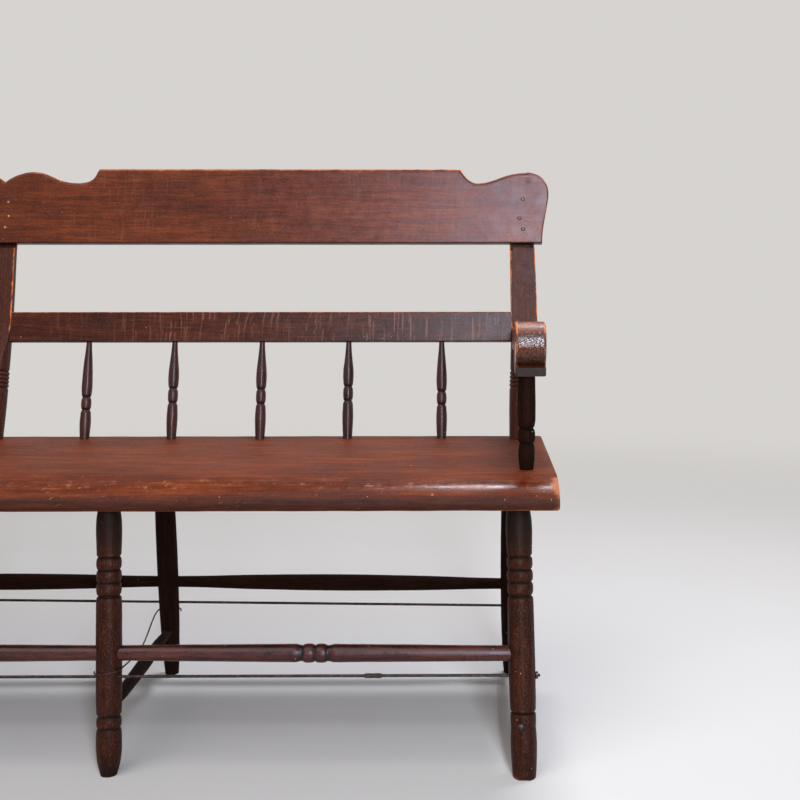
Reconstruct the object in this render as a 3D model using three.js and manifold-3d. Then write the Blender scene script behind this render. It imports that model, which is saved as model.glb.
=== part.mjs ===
// A long wooden bench with an open back of three posts, two rails and ten spindles, two arms with rolled
// knuckles, and eight turned legs tied by wooden stretchers, iron rods and wire.
// Millimetres. X runs along the bench to the right of someone who faces it, Y to its back, and Z up.

import * as THREE from 'three';
import { mergeVertices } from 'three/addons/utils/BufferGeometryUtils.js';
import Module from 'manifold-3d';

const wasm = await Module();
wasm.setup();

// Fits
const clearance = 0.3;
const overrun = 8;

// Seat
const seatLength = 1974;
const seatDepth = 421;
const seatHeight = 442;
const seatThickness = 46;
const seatRollDepth = 73;
const seatRollDrop = 33;
const seatUnderRound = 14;
const seatEndRound = 3;

// Legs: insets are measured at the underside of the seat, splay and rake at the floor
const legRadius = 19.7;
const rearLegRadius = 18.5;
const legTenonRadius = 12;
const legTenonLength = 20;
const endLegInset = 60;
const innerLegShare = 0.3275;
const legSplay = 7;
const frontLegInset = 49;
const frontLegRake = 48;
const innerFrontLegRake = 34;
const rearLegInset = 32;
const rearLegRake = 60;
const rearLegSpread = 4;
const rearLegSplay = 1;

// Stretchers: heights are those of the axis where it meets the legs
const frontStretcherHeight = 178;
const frontStretcherRadius = 14;
const rearStretcherHeight = 177;
const rearStretcherEndFall = 6;
const rearStretcherRadius = 14.5;
const sideStretcherRadius = 11;
const sideStretcherFrontHeight = 93;
const endSideStretcherFrontHeight = 77;
const sideStretcherRearHeight = 86;
const stretcherTenonStop = 3;
const frontStretcherEndShare = 0.8;
const stretcherEndShare = 0.66;

// Iron rods, nuts, wire and bolt
const rodRadius = 2.2;
const rodTail = 3;
const frontRodHeight = 146;
const rearRodLeftHeight = 155;
const rearRodRightHeight = 129;
const nutAcross = 9;
const nutThickness = 4;
const wireRadius = 1.3;
const wireRiseOverRod = 8;
const wireHeightAtRearLeg = 121;
const wireSlant = 8;
const wireSag = 14;
const wireGap = 1.2;
const boltRadius = 3;
const boltLength = 46;
const boltHeadRadius = 7.2;
const boltHeadHeight = 5;
const boltDrift = 3.5;

// Back: heights are measured along the leaning back, from the top of the seat
const backTiltDegrees = 11.3;
const backInset = 26;
const endPostInset = 39.5;
const endPostLean = 8.5;
const postRadius = 23;
const postFlatDepth = 10;
const postFlatStart = 118;
const postFlatFull = 205;
const postTenonRadius = 12.5;
const postTenonLength = 20;
const postTop = 458;
const crestBottom = 354;
const crestHeight = 140;
const crestThickness = 22;
const crestProud = 8;
const crestOverhang = 47;
const crestArris = 2.5;
const crestSeatGap = 7;
const midRailBottom = 173.5;
const midRailHeight = 54.5;
const midRailThickness = 18;
const midRailTenonLength = 13;
const midRailTenonHeight = 38;
const midRailTenonThickness = 9;
const nailRadius = 2.4;
const nailLength = 34;

// Spindles
const spindleRadius = 9.8;
const spindleTenonRadius = 4.8;
const spindleTenonLength = 16;

// Arms: heights are measured from the top of the seat
const armWidth = 47;
const armRearWidth = 38;
const armInset = 4;
const armRearTop = 198;
const armRearThickness = 39;
const armTenonRadius = 9;
const armTenonLength = 24;
const armWaistThickness = 33;
const armEdgeRound = 2.2;
const knuckleRadius = 34.5;
const knuckleCentreHeight = 196.5;
const knuckleCentreInset = 100;
const knuckleBlockHeight = 14;
const knuckleBlockSetback = 8;
const knuckleBlockLength = 56;

// Arm posts
const armPostRadius = 14.2;
const armPostInset = 9.5;
const armPostSetback = 1;
const armPostTenonRadius = 8;
const armPostTenonLength = 18;

// Number of sides of the turned pieces
const legSides = 12;
const postSides = 12;
const armPostSides = 12;
const stretcherSides = 10;
const spindleSides = 8;
const spindleTenonSides = 6;
const pinSides = 8;
const rodSides = 6;
const wireSides = 5;
const wireSteps = 44;
const crestCurveSteps = 5;

// Turned outlines, bottom to top: shares of the piece's length and of its largest radius
const bead = (lowShare, highShare, waistShare, fullShare, steps = 2) => {
  const rows = [];
  for (let i = 0; i <= steps; i += 1) {
    const along = i / steps;
    const swell = Math.sin(Math.PI * (0.12 + 0.76 * along));
    rows.push([
      lowShare + (highShare - lowShare) * along,
      waistShare + (fullShare - waistShare) * swell,
    ]);
  }
  return rows;
};

const frontLegShares = [
  [-0.02, 0.66],
  [0.035, 0.84],
  [0.125, 0.98],
  [0.165, 0.95],
  [0.175, 0.85],
  ...bead(0.18, 0.2225, 0.86, 0.95),
  [0.2275, 0.85],
  [0.24, 0.96],
  [0.32, 1],
  [0.648, 0.985],
  [0.664, 0.82],
  ...bead(0.669, 0.7155, 0.84, 0.97),
  ...bead(0.7155, 0.762, 0.84, 0.97),
  ...bead(0.762, 0.8085, 0.84, 0.97),
  [0.8145, 0.83],
  [0.85, 0.88],
  [0.905, 0.97],
  [0.975, 0.84],
  [1.04, 0.79],
];

const rearLegShares = [
  [-0.02, 0.62],
  [0.05, 0.74],
  [0.2, 0.89],
  [0.48, 1],
  [0.78, 0.97],
  [1.04, 0.86],
];

const frontStretcherShares = [
  [0, frontStretcherEndShare],
  [0.04, frontStretcherEndShare],
  [0.2, 0.87],
  [0.38, 0.93],
  [0.455, 0.96],
  [0.469, 0.84],
  ...bead(0.472, 0.5, 0.86, 1),
  ...bead(0.5, 0.528, 0.86, 1),
  [0.531, 0.84],
  [0.545, 0.96],
  [0.62, 0.93],
  [0.8, 0.87],
  [0.96, frontStretcherEndShare],
  [1, frontStretcherEndShare],
];

const plainStretcherShares = [
  [0, stretcherEndShare],
  [0.05, stretcherEndShare],
  [0.24, 0.87],
  [0.5, 1],
  [0.76, 0.87],
  [0.95, stretcherEndShare],
  [1, stretcherEndShare],
];

const postShares = [
  [-0.02, 0.83],
  [0.03, 0.86],
  [0.12, 0.94],
  [0.195, 0.98],
  ...bead(0.2, 0.2155, 0.92, 1),
  ...bead(0.2155, 0.231, 0.92, 1),
  ...bead(0.231, 0.2465, 0.92, 1),
  ...bead(0.2465, 0.262, 0.92, 1),
  [0.268, 0.98],
  [0.42, 1.04],
  [0.52, 1.04],
  [0.78, 0.98],
  [1, 0.97],
];

const spindleShares = [
  [-0.01, 0.82],
  [0.1, 0.94],
  [0.22, 1],
  [0.345, 0.88],
  [0.365, 0.68],
  ...bead(0.37, 0.51, 0.72, 0.9),
  [0.515, 0.68],
  [0.55, 0.87],
  [0.64, 0.965],
  [0.79, 0.77],
  [0.99, 0.5],
];

const armPostShares = [
  [-0.02, 0.75],
  [0.05, 0.82],
  [0.14, 0.91],
  [0.24, 0.86],
  [0.27, 0.79],
  ...bead(0.285, 0.425, 0.8, 0.95, 3),
  [0.44, 0.8],
  [0.5, 0.97],
  [0.6, 1],
  [0.85, 0.98],
  [1.02, 0.95],
];

// Places along the back, as shares of the distance from the middle post to an end post
const spindlePlaceShares = [0.1745, 0.3385, 0.506, 0.672, 0.8505];
const boltSeatShare = 0.86;
const crestEndDrawShare = 0.27;
const armEndShare = 0.6;
const postFlatOpenShare = 1.02;

// Handles of the seat's front roll, as shares of its depth and drop, and of the round below it
const seatRollShares = [[0.5, 0], [0.06, 0.42]];
const seatUnderShares = [0.4, 0.5];

// Handles of the arm's outline: shares of the arm's length behind the knuckle, of its thickness at the rear,
// of the knuckle's radius and of the knuckle block's length
const armRearHandleShare = 0.3;
const armRearDropShare = 0.1;
const armKnuckleHandleShare = 1.6;
const knuckleTurnShare = 0.68;
const armUnderPlaceShares = [1.3, 1.2, 2, 3];
const armUnderRiseShares = [1, 0.85, 0.75];
const armDrawShares = [0.3, 0.62];

// Rows of handle, handle and end of each curve along the top of half a crest rail: shares of the distance
// from its middle to an end post, and of its height
const crestInnerShares = [
  [[0.012, 0.9], [0.036, 0.96], [0.053, 0.96]],
  [[0.085, 0.96], [0.1, 0.808], [0.137, 0.808]],
  [[0.165, 0.808], [0.172, 0.86], [0.176, 0.95]],
];
const crestRaisedShares = [0.181, 0.8785];
const crestOuterShares = [
  [[0.888, 0.87], [0.9, 0.808], [0.913, 0.808]],
  [[0.945, 0.808], [0.965, 0.955], [1.008, 0.955]],
];
const crestNotchShare = 0.82;
const crestShoulderShares = [0.8, 0.68, 0.5, 0.25];

// Nails of a post, from the lowest: shares of the crest's height, and of the post's radius outwards
const middleNailShares = [[0.207, 0.25], [0.36, 0.48], [0.547, 0.39]];
const endNailShares = [[0.187, 0.03], [0.331, -0.26], [0.588, -0.03]];

// Places worked out from the dimensions above
const seatUnderside = seatHeight - seatThickness;
const endLegX = seatLength / 2 - endLegInset;
const innerLegX = endLegX * innerLegShare;
const endPostX = seatLength / 2 - endPostInset;
const backTilt = THREE.MathUtils.degToRad(backTiltDegrees);
const backY = seatDepth - backInset;
const postX = [-endPostX, 0, endPostX];
const postLean = [-endPostLean, 0, endPostLean];
const postFlatY = -postFlatDepth;
const crestFrontY = postFlatY - crestProud;
const crestBackY = crestFrontY + crestThickness;
const crestTopX = endPostX + endPostLean;
const armTopInset = endPostInset + armInset;
const legX = [-endLegX, -innerLegX, innerLegX, endLegX];

// Finishes
const finish = (color, roughness, metalness) => (
  new THREE.MeshStandardMaterial({ color, roughness, metalness })
);
const paleWorn = () => finish(0x7a3a22, 0.5, 0);
const redBrown = () => finish(0x5c2a1c, 0.45, 0);
const darkBrown = () => finish(0x3a1a14, 0.5, 0);
const iron = () => finish(0x2b2827, 0.5, 0.85);

// Solids
const toSolid = (geometry, matrix = new THREE.Matrix4()) => {
  const bare = geometry.clone();
  bare.deleteAttribute('normal');
  bare.deleteAttribute('uv');
  bare.applyMatrix4(matrix);
  const merged = mergeVertices(bare);
  const corners = Array.from(merged.index.array);
  const kept = [];
  for (let i = 0; i < corners.length; i += 3) {
    const [a, b, c] = corners.slice(i, i + 3);
    if (a !== b && b !== c && c !== a) {
      kept.push(a, b, c);
    }
  }
  return new wasm.Manifold(new wasm.Mesh({
    numProp: 3,
    vertProperties: merged.attributes.position.array,
    triVerts: new Uint32Array(kept),
  }));
};

const addPiece = (group, name, solid, material, placement = new THREE.Matrix4()) => {
  const { vertProperties, triVerts } = solid.getMesh();
  const geometry = new THREE.BufferGeometry();
  geometry.setAttribute('position', new THREE.BufferAttribute(new Float32Array(vertProperties), 3));
  geometry.setIndex(new THREE.BufferAttribute(new Uint32Array(triVerts), 1));
  geometry.applyMatrix4(placement.clone().invert());
  geometry.computeVertexNormals();
  const mesh = new THREE.Mesh(geometry, material);
  mesh.name = name;
  mesh.applyMatrix4(placement);
  group.updateWorldMatrix(true, false);
  group.attach(mesh);
  return mesh;
};

const at = (x, y, z) => new THREE.Vector3(x, y, z);

const alongMatrix = (from, to) => {
  const axis = to.clone().sub(from).normalize();
  const turn = new THREE.Quaternion().setFromUnitVectors(at(0, 0, 1), axis);
  return new THREE.Matrix4().compose(from, turn, at(1, 1, 1));
};

// A turned solid whose axis runs from one point to another
const turned = (shares, radius, sides, from, to) => {
  const length = from.distanceTo(to);
  const outline = [new THREE.Vector2(0, shares[0][0] * length)];
  for (const [heightShare, radiusShare] of shares) {
    outline.push(new THREE.Vector2(radiusShare * radius, heightShare * length));
  }
  outline.push(new THREE.Vector2(0, shares[shares.length - 1][0] * length));
  const geometry = new THREE.LatheGeometry(outline, sides);
  geometry.rotateX(Math.PI / 2);
  return toSolid(geometry, alongMatrix(from, to));
};

// A plain round bar, always built upwards so that a tenon and its socket have their corners in line
const bar = (end, otherEnd, radius, sides = pinSides) => {
  const [from, to] = end.z <= otherEnd.z ? [end, otherEnd] : [otherEnd, end];
  return turned([[0, 1], [1, 1]], radius, sides, from, to);
};

const block = (low, high, matrix) => {
  const size = high.clone().sub(low);
  const geometry = new THREE.BoxGeometry(size.x, size.y, size.z);
  geometry.translate((low.x + high.x) / 2, (low.y + high.y) / 2, (low.z + high.z) / 2);
  return toSolid(geometry, matrix);
};

// A flat outline in Y and Z, made solid from one X to another
const slabAlongX = (shape, fromX, toX, round, segments = 1) => {
  const geometry = new THREE.ExtrudeGeometry(shape, {
    depth: toX - fromX - 2 * round,
    bevelEnabled: round > 0,
    bevelThickness: round,
    bevelSize: round,
    bevelOffset: -round,
    bevelSegments: segments,
    curveSegments: 7,
  });
  geometry.translate(0, 0, round);
  const matrix = new THREE.Matrix4().makeBasis(at(0, 1, 0), at(0, 0, 1), at(1, 0, 0));
  return toSolid(geometry, matrix.premultiply(new THREE.Matrix4().makeTranslation(fromX, 0, 0)));
};

const between = (from, to, share) => from.clone().lerp(to, share);

const pointAtHeight = (axis, height) => {
  const share = (height - axis.from.z) / (axis.to.z - axis.from.z);
  return between(axis.from, axis.to, share);
};

const pointFrom = (from, to, distance) => between(from, to, distance / from.distanceTo(to));

// Axes of the legs, from the floor to the underside of the seat
const isEndLeg = (x) => Math.abs(x) === endLegX;
const frontRake = (x) => (isEndLeg(x) ? frontLegRake : innerFrontLegRake);
const frontLegAxes = legX.map((x) => ({
  from: at(x + Math.sign(x) * legSplay, frontLegInset - frontRake(x), 0),
  to: at(x, frontLegInset, seatUnderside),
}));
const rearLegAxes = legX.map((x) => ({
  from: at(x + Math.sign(x) * (rearLegSpread + rearLegSplay), seatDepth - rearLegInset + rearLegRake, 0),
  to: at(x + Math.sign(x) * rearLegSpread, seatDepth - rearLegInset, seatUnderside),
}));

// The leaning back has a frame of its own: its Z runs up the back, and its Y is square to it
const bench = new THREE.Group();
const underframe = new THREE.Group();
const back = new THREE.Group();
const arms = new THREE.Group();
const braces = new THREE.Group();
bench.add(underframe, back, arms, braces);
back.position.set(0, backY, seatHeight);
back.rotation.x = -backTilt;
back.updateWorldMatrix(true, false);
const backMatrix = back.matrixWorld.clone();
const onBack = (x, y, height) => at(x, y, height).applyMatrix4(backMatrix);

const postAxes = postX.map((x, i) => ({
  from: onBack(x, 0, 0),
  to: onBack(x + postLean[i], 0, postTop),
}));
const postXAt = (i, height) => postX[i] + postLean[i] * (height / postTop);

// Stretchers between the legs of a row
const stretcherSpans = (axes, heights) => {
  const spans = [];
  for (let i = 0; i + 1 < axes.length; i += 1) {
    const left = pointAtHeight(axes[i], heights[i]);
    const right = pointAtHeight(axes[i + 1], heights[i + 1]);
    spans.push({
      from: pointFrom(left, right, stretcherTenonStop),
      to: pointFrom(right, left, stretcherTenonStop),
    });
  }
  return spans;
};

const frontSpans = stretcherSpans(frontLegAxes, legX.map(() => frontStretcherHeight));
const rearSpans = stretcherSpans(
  rearLegAxes,
  legX.map((x) => rearStretcherHeight - (isEndLeg(x) ? rearStretcherEndFall : 0)),
);
const sideSpans = legX.map((x, i) => {
  const isBolted = i === legX.length - 1;
  const frontHeight = isBolted ? endSideStretcherFrontHeight : sideStretcherFrontHeight;
  const front = pointAtHeight(frontLegAxes[i], frontHeight);
  const rear = pointAtHeight(rearLegAxes[i], sideStretcherRearHeight);
  return {
    from: pointFrom(front, rear, stretcherTenonStop),
    to: pointFrom(rear, front, stretcherTenonStop),
  };
});

// A socket is the tenon's cylinder, a clearance wider and longer at its blind end
const socket = (mouth, bottom, tenonRadius, sides = pinSides) => {
  const deeper = pointFrom(mouth, bottom, mouth.distanceTo(bottom) + clearance);
  return bar(mouth, deeper, tenonRadius + clearance, sides);
};

const stretcherSockets = (spans, radius, sides) => spans.flatMap(({ from, to }) => {
  const middle = between(from, to, 0.5);
  return [socket(middle, from, radius, sides), socket(middle, to, radius, sides)];
});

const cutAll = (solid, cutters) => cutters.reduce((rest, cutter) => rest.subtract(cutter), solid);

// Rods
const frontRodEnds = [
  pointAtHeight(frontLegAxes[0], frontRodHeight),
  pointAtHeight(frontLegAxes[legX.length - 1], frontRodHeight),
];
const rearRodEnds = [
  pointAtHeight(rearLegAxes[0], rearRodLeftHeight),
  pointAtHeight(rearLegAxes[legX.length - 1], rearRodRightHeight),
];
const rodSpan = (ends, legFace) => {
  const reach = legFace + clearance + nutThickness + rodTail;
  return { from: pointFrom(ends[0], ends[1], -reach), to: pointFrom(ends[1], ends[0], -reach) };
};
const frontRodSpan = rodSpan(frontRodEnds, legRadius);
const rearRodSpan = rodSpan(rearRodEnds, rearLegRadius);
const rodHole = ({ from, to }) => bar(from, to, rodRadius + clearance, rodSides);

// Seat plank: flat on top, rolled down to a low nose in front, square at the back
const makeSeat = () => {
  const noseHeight = seatHeight - seatRollDrop;
  const outline = new THREE.Shape();
  outline.moveTo(seatDepth, seatUnderside);
  outline.lineTo(seatDepth, seatHeight);
  outline.lineTo(seatRollDepth, seatHeight);
  const rollHandles = seatRollShares.flatMap(([deep, drop]) => [
    deep * seatRollDepth,
    seatHeight - drop * seatRollDrop,
  ]);
  const [above, before] = seatUnderShares;
  outline.bezierCurveTo(...rollHandles, 0, noseHeight);
  outline.bezierCurveTo(
    0, seatUnderside + above * seatUnderRound,
    before * seatUnderRound, seatUnderside,
    seatUnderRound, seatUnderside,
  );
  outline.closePath();
  let solid = slabAlongX(outline, -seatLength / 2, seatLength / 2, seatEndRound);
  const sockets = [];
  for (const axis of [...frontLegAxes, ...rearLegAxes]) {
    const tenonEnd = pointFrom(axis.to, axis.from, -legTenonLength);
    sockets.push(socket(axis.from, tenonEnd, legTenonRadius));
  }
  for (const axis of postAxes) {
    sockets.push(socket(axis.to, pointFrom(axis.from, axis.to, -postTenonLength), postTenonRadius));
  }
  for (const axis of spindleAxes) {
    const tenonEnd = pointFrom(axis.from, axis.to, -spindleTenonLength);
    sockets.push(socket(axis.to, tenonEnd, spindleTenonRadius, spindleTenonSides));
  }
  for (const axis of armPostAxes) {
    const tenonEnd = pointFrom(axis.from, axis.to, -armPostTenonLength);
    sockets.push(socket(axis.to, tenonEnd, armPostTenonRadius));
  }
  solid = cutAll(solid, sockets);
  addPiece(bench, 'seat_plank', solid, paleWorn(), new THREE.Matrix4().makeTranslation(0, 0, seatHeight));
};

// A half space that ends a piece at a level face of the seat
const levelBlock = (low, high) => block(
  at(-seatLength, -seatDepth, low),
  at(seatLength, 2 * seatDepth, high),
  new THREE.Matrix4(),
);

const makeLeg = (name, axis, shares, radius, cutters) => {
  let solid = turned(shares, radius, legSides, axis.from, axis.to);
  solid = solid.intersect(levelBlock(0, seatUnderside - clearance));
  const tenonEnd = pointFrom(axis.to, axis.from, -legTenonLength);
  solid = solid.add(bar(pointFrom(axis.to, axis.from, overrun), tenonEnd, legTenonRadius));
  solid = cutAll(solid, cutters);
  addPiece(underframe, name, solid, darkBrown(), alongMatrix(axis.from, axis.to));
};

const boltedLeg = legX.length - 1;
const boltAim = pointFrom(sideSpans[boltedLeg].from, sideSpans[boltedLeg].to, boltLength - legRadius);
const boltStart = pointFrom(
  sideSpans[boltedLeg].from,
  sideSpans[boltedLeg].to,
  -(stretcherTenonStop + legRadius * boltSeatShare),
).sub(at(boltDrift, 0, 0));
const boltEnd = pointFrom(boltStart, boltAim, boltLength);
const boltHole = bar(boltStart, pointFrom(boltEnd, boltStart, -clearance), boltRadius + clearance);

const frontStretcherSocketRadius = frontStretcherRadius * frontStretcherEndShare;

const makeLegs = () => {
  const frontSockets = stretcherSockets(frontSpans, frontStretcherSocketRadius, stretcherSides);
  const rearSockets = stretcherSockets(rearSpans, rearStretcherRadius * stretcherEndShare, stretcherSides);
  const sideSockets = stretcherSockets(sideSpans, sideStretcherRadius * stretcherEndShare, stretcherSides);
  const spotFace = bar(
    pointFrom(boltStart, boltEnd, -overrun),
    boltStart,
    boltHeadRadius + clearance,
    legSides,
  );
  frontLegAxes.forEach((axis, i) => {
    const cutters = [...frontSockets, ...sideSockets, rodHole(frontRodSpan)];
    if (i === boltedLeg) {
      cutters.push(boltHole, spotFace);
    }
    makeLeg(`front_leg_${i + 1}`, axis, frontLegShares, legRadius, cutters);
  });
  rearLegAxes.forEach((axis, i) => {
    const cutters = [...rearSockets, ...sideSockets, rodHole(rearRodSpan)];
    makeLeg(`rear_leg_${i + 1}`, axis, rearLegShares, rearLegRadius, cutters);
  });
};

const makeStretchers = () => {
  frontSpans.forEach(({ from, to }, i) => {
    const solid = turned(frontStretcherShares, frontStretcherRadius, stretcherSides, from, to);
    addPiece(underframe, `front_stretcher_${i + 1}`, solid, darkBrown(), alongMatrix(from, to));
  });
  rearSpans.forEach(({ from, to }, i) => {
    const solid = turned(plainStretcherShares, rearStretcherRadius, stretcherSides, from, to);
    addPiece(underframe, `rear_stretcher_${i + 1}`, solid, darkBrown(), alongMatrix(from, to));
  });
  sideSpans.forEach(({ from, to }, i) => {
    let solid = turned(plainStretcherShares, sideStretcherRadius, stretcherSides, from, to);
    if (i === boltedLeg) {
      solid = solid.subtract(boltHole);
    }
    addPiece(underframe, `side_stretcher_${i + 1}`, solid, darkBrown(), alongMatrix(from, to));
  });
};

// Back posts: turned below, flattened in front above the rings, with a rebate at the top for the crest
const crestShoulder = crestBottom - crestSeatGap;
const midRailMiddle = midRailBottom + midRailHeight / 2;

const midRailTenon = (bay, margin) => {
  const fromX = postXAt(bay, midRailMiddle) + postRadius - midRailTenonLength - margin;
  const toX = postXAt(bay + 1, midRailMiddle) - postRadius + midRailTenonLength + margin;
  const halfThickness = midRailTenonThickness / 2 + margin;
  const halfHeight = midRailTenonHeight / 2 + margin;
  return block(
    at(fromX, -halfThickness, midRailMiddle - halfHeight),
    at(toX, halfThickness, midRailMiddle + halfHeight),
    backMatrix,
  );
};

const postFlat = (reach) => {
  const outline = new THREE.Shape();
  outline.moveTo(-postRadius * postFlatOpenShare, postFlatStart);
  outline.lineTo(postFlatY, postFlatFull);
  outline.lineTo(postFlatY, crestShoulder);
  outline.lineTo(crestBackY + clearance, crestShoulder);
  outline.lineTo(crestBackY + clearance, postTop + overrun);
  outline.lineTo(-postRadius - overrun, postTop + overrun);
  outline.lineTo(-postRadius - overrun, postFlatStart);
  outline.closePath();
  const geometry = new THREE.ExtrudeGeometry(outline, { depth: 2 * reach, bevelEnabled: false });
  geometry.translate(0, 0, -reach);
  const upright = new THREE.Matrix4().makeBasis(at(0, 1, 0), at(0, 0, 1), at(1, 0, 0));
  return (x) => toSolid(
    geometry,
    backMatrix.clone().multiply(new THREE.Matrix4().makeTranslation(x, 0, 0)).multiply(upright),
  );
};

const postBody = (i, margin) => {
  const { from, to } = postAxes[i];
  return turned(postShares, postRadius + margin, postSides, from, to);
};

const makePosts = () => {
  const flatAt = postFlat(2 * postRadius);
  postAxes.forEach((axis, i) => {
    let solid = postBody(i, 0).intersect(levelBlock(seatHeight + clearance, seatHeight + 2 * postTop));
    const tenonEnd = pointFrom(axis.from, axis.to, -postTenonLength);
    solid = solid.add(bar(tenonEnd, pointFrom(axis.from, axis.to, 2 * overrun), postTenonRadius));
    const cutters = [flatAt(postXAt(i, crestBottom))];
    if (i > 0) {
      cutters.push(midRailTenon(i - 1, clearance));
    }
    if (i + 1 < postAxes.length) {
      cutters.push(midRailTenon(i, clearance));
    }
    const side = Math.sign(postX[i]);
    if (side !== 0) {
      cutters.push(armTenonSocket(side));
    }
    cutters.push(...nailsAtPost(i).map(nailHole));
    solid = cutAll(solid, cutters);
    addPiece(back, `back_post_${i + 1}`, solid, redBrown(), alongMatrix(axis.from, axis.to));
  });
};

// Spindles stand in the seat and end in the mid rail
const spindleAxes = [];
for (const side of [-1, 1]) {
  const shares = side < 0 ? [...spindlePlaceShares].reverse() : spindlePlaceShares;
  for (const share of shares) {
    const x = side * share * endPostX;
    spindleAxes.push({ from: onBack(x, 0, 0), to: onBack(x, 0, midRailBottom) });
  }
}

const makeSpindles = () => {
  spindleAxes.forEach((axis, i) => {
    let solid = turned(spindleShares, spindleRadius, spindleSides, axis.from, axis.to);
    solid = solid.intersect(levelBlock(seatHeight + clearance, seatHeight + 2 * postTop));
    const low = pointFrom(axis.from, axis.to, -spindleTenonLength);
    const high = pointFrom(axis.to, axis.from, -spindleTenonLength);
    solid = solid.add(bar(low, high, spindleTenonRadius, spindleTenonSides));
    addPiece(back, `spindle_${i + 1}`, solid, darkBrown(), alongMatrix(axis.from, axis.to));
  });
};

const makeMidRails = () => {
  for (let bay = 0; bay + 1 < postX.length; bay += 1) {
    let solid = block(
      at(postXAt(bay, midRailMiddle), -midRailThickness / 2, midRailBottom),
      at(postXAt(bay + 1, midRailMiddle), midRailThickness / 2, midRailBottom + midRailHeight),
      backMatrix,
    );
    solid = cutAll(solid, [postBody(bay, clearance), postBody(bay + 1, clearance)]);
    solid = solid.add(midRailTenon(bay, 0));
    const first = bay * spindlePlaceShares.length;
    for (const axis of spindleAxes.slice(first, first + spindlePlaceShares.length)) {
      const bottom = pointFrom(axis.to, axis.from, -spindleTenonLength);
      solid = solid.subtract(socket(axis.from, bottom, spindleTenonRadius, spindleTenonSides));
    }
    addPiece(back, `mid_rail_${bay + 1}`, solid, redBrown(), backMatrix);
  }
};

// Crest rail: one board whose upper edge dips beside a raised stretch over each bay
const crestOutline = () => {
  const x = (share) => share * crestTopX;
  const z = (share) => crestBottom + share * crestHeight;
  const crestEnd = crestTopX + crestOverhang;
  const drawnEnd = crestEnd - crestOverhang * crestEndDrawShare;
  const half = new THREE.Path();
  const follow = (rows) => rows.forEach((row) => {
    half.bezierCurveTo(...row.flatMap(([along, up]) => [x(along), z(up)]));
  });
  half.moveTo(0, z(crestNotchShare));
  follow(crestInnerShares);
  crestRaisedShares.forEach((share) => half.lineTo(x(share), z(1)));
  follow(crestOuterShares);
  const [corner, shoulder, belowShoulder, waist] = crestShoulderShares.map(z);
  half.bezierCurveTo(drawnEnd, half.currentPoint.y, crestEnd, corner, crestEnd, shoulder);
  half.bezierCurveTo(crestEnd, belowShoulder, drawnEnd, waist, drawnEnd, crestBottom);
  const right = half.getPoints(crestCurveSteps);
  const left = right.slice(1).reverse().map((p) => new THREE.Vector2(-p.x, p.y));
  return new THREE.Shape([...left, ...right]);
};

const nailsAtPost = (i) => (postX[i] === 0 ? middleNailShares : endNailShares).map(([up, aside]) => {
  const height = crestBottom + up * crestHeight;
  const outward = postX[i] < 0 ? -1 : 1;
  const x = postXAt(i, height) + outward * aside * postRadius;
  return {
    before: onBack(x, crestFrontY - overrun, height),
    face: onBack(x, crestFrontY, height),
    point: onBack(x, crestFrontY + nailLength, height),
  };
});

const nailHole = ({ before, point }) => bar(before, point, nailRadius + clearance, rodSides);

const makeCrest = () => {
  const geometry = new THREE.ExtrudeGeometry(crestOutline(), {
    depth: crestThickness - 2 * crestArris,
    bevelEnabled: true,
    bevelThickness: crestArris,
    bevelSize: crestArris,
    bevelOffset: -crestArris,
    bevelSegments: 1,
  });
  geometry.rotateX(Math.PI / 2);
  geometry.translate(0, crestBackY - crestArris, 0);
  let solid = toSolid(geometry, backMatrix);
  const holes = postX.flatMap((x, i) => nailsAtPost(i).map(nailHole));
  solid = cutAll(solid, holes);
  addPiece(back, 'crest_rail', solid, redBrown(), backMatrix);
};

const makeNails = () => {
  postX.forEach((x, i) => nailsAtPost(i).forEach(({ face, point }, n) => {
    const solid = bar(face, pointFrom(point, face, clearance), nailRadius, rodSides);
    const number = i * endNailShares.length + n + 1;
    addPiece(back, `crest_nail_${number}`, solid, iron(), alongMatrix(face, point));
  }));
};

// Arms: a plank on edge seen from the side, rolled over into a knuckle in front
const armRearTopZ = seatHeight + armRearTop;
const armRearMiddle = armRearTopZ - armRearThickness / 2;
const postAxisAtHeight = (i, z) => pointAtHeight(postAxes[i], z);
const knuckleY = knuckleCentreInset;
const knuckleZ = seatHeight + knuckleCentreHeight;
const knuckleBottomZ = knuckleZ - knuckleRadius - knuckleBlockHeight;
const armX = (side) => side * (seatLength / 2 - armTopInset + endPostLean / 2);

const armPostAxes = [-1, 1].map((side) => {
  const x = side * (seatLength / 2 - endPostInset - armPostInset + endPostLean / 2);
  const y = knuckleCentreInset + armPostSetback;
  return { from: at(x, y, seatHeight), to: at(x, y, knuckleBottomZ) };
});

const armTenonEnds = (side) => {
  const post = postAxisAtHeight(side < 0 ? 0 : postAxes.length - 1, armRearMiddle);
  const front = at(post.x, post.y - postRadius - armTenonLength, armRearMiddle);
  return { front, end: at(post.x, post.y + armTenonLength - postRadius, armRearMiddle) };
};

const armTenonSocket = (side) => {
  const { front, end } = armTenonEnds(side);
  return socket(front, end, armTenonRadius);
};

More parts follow.
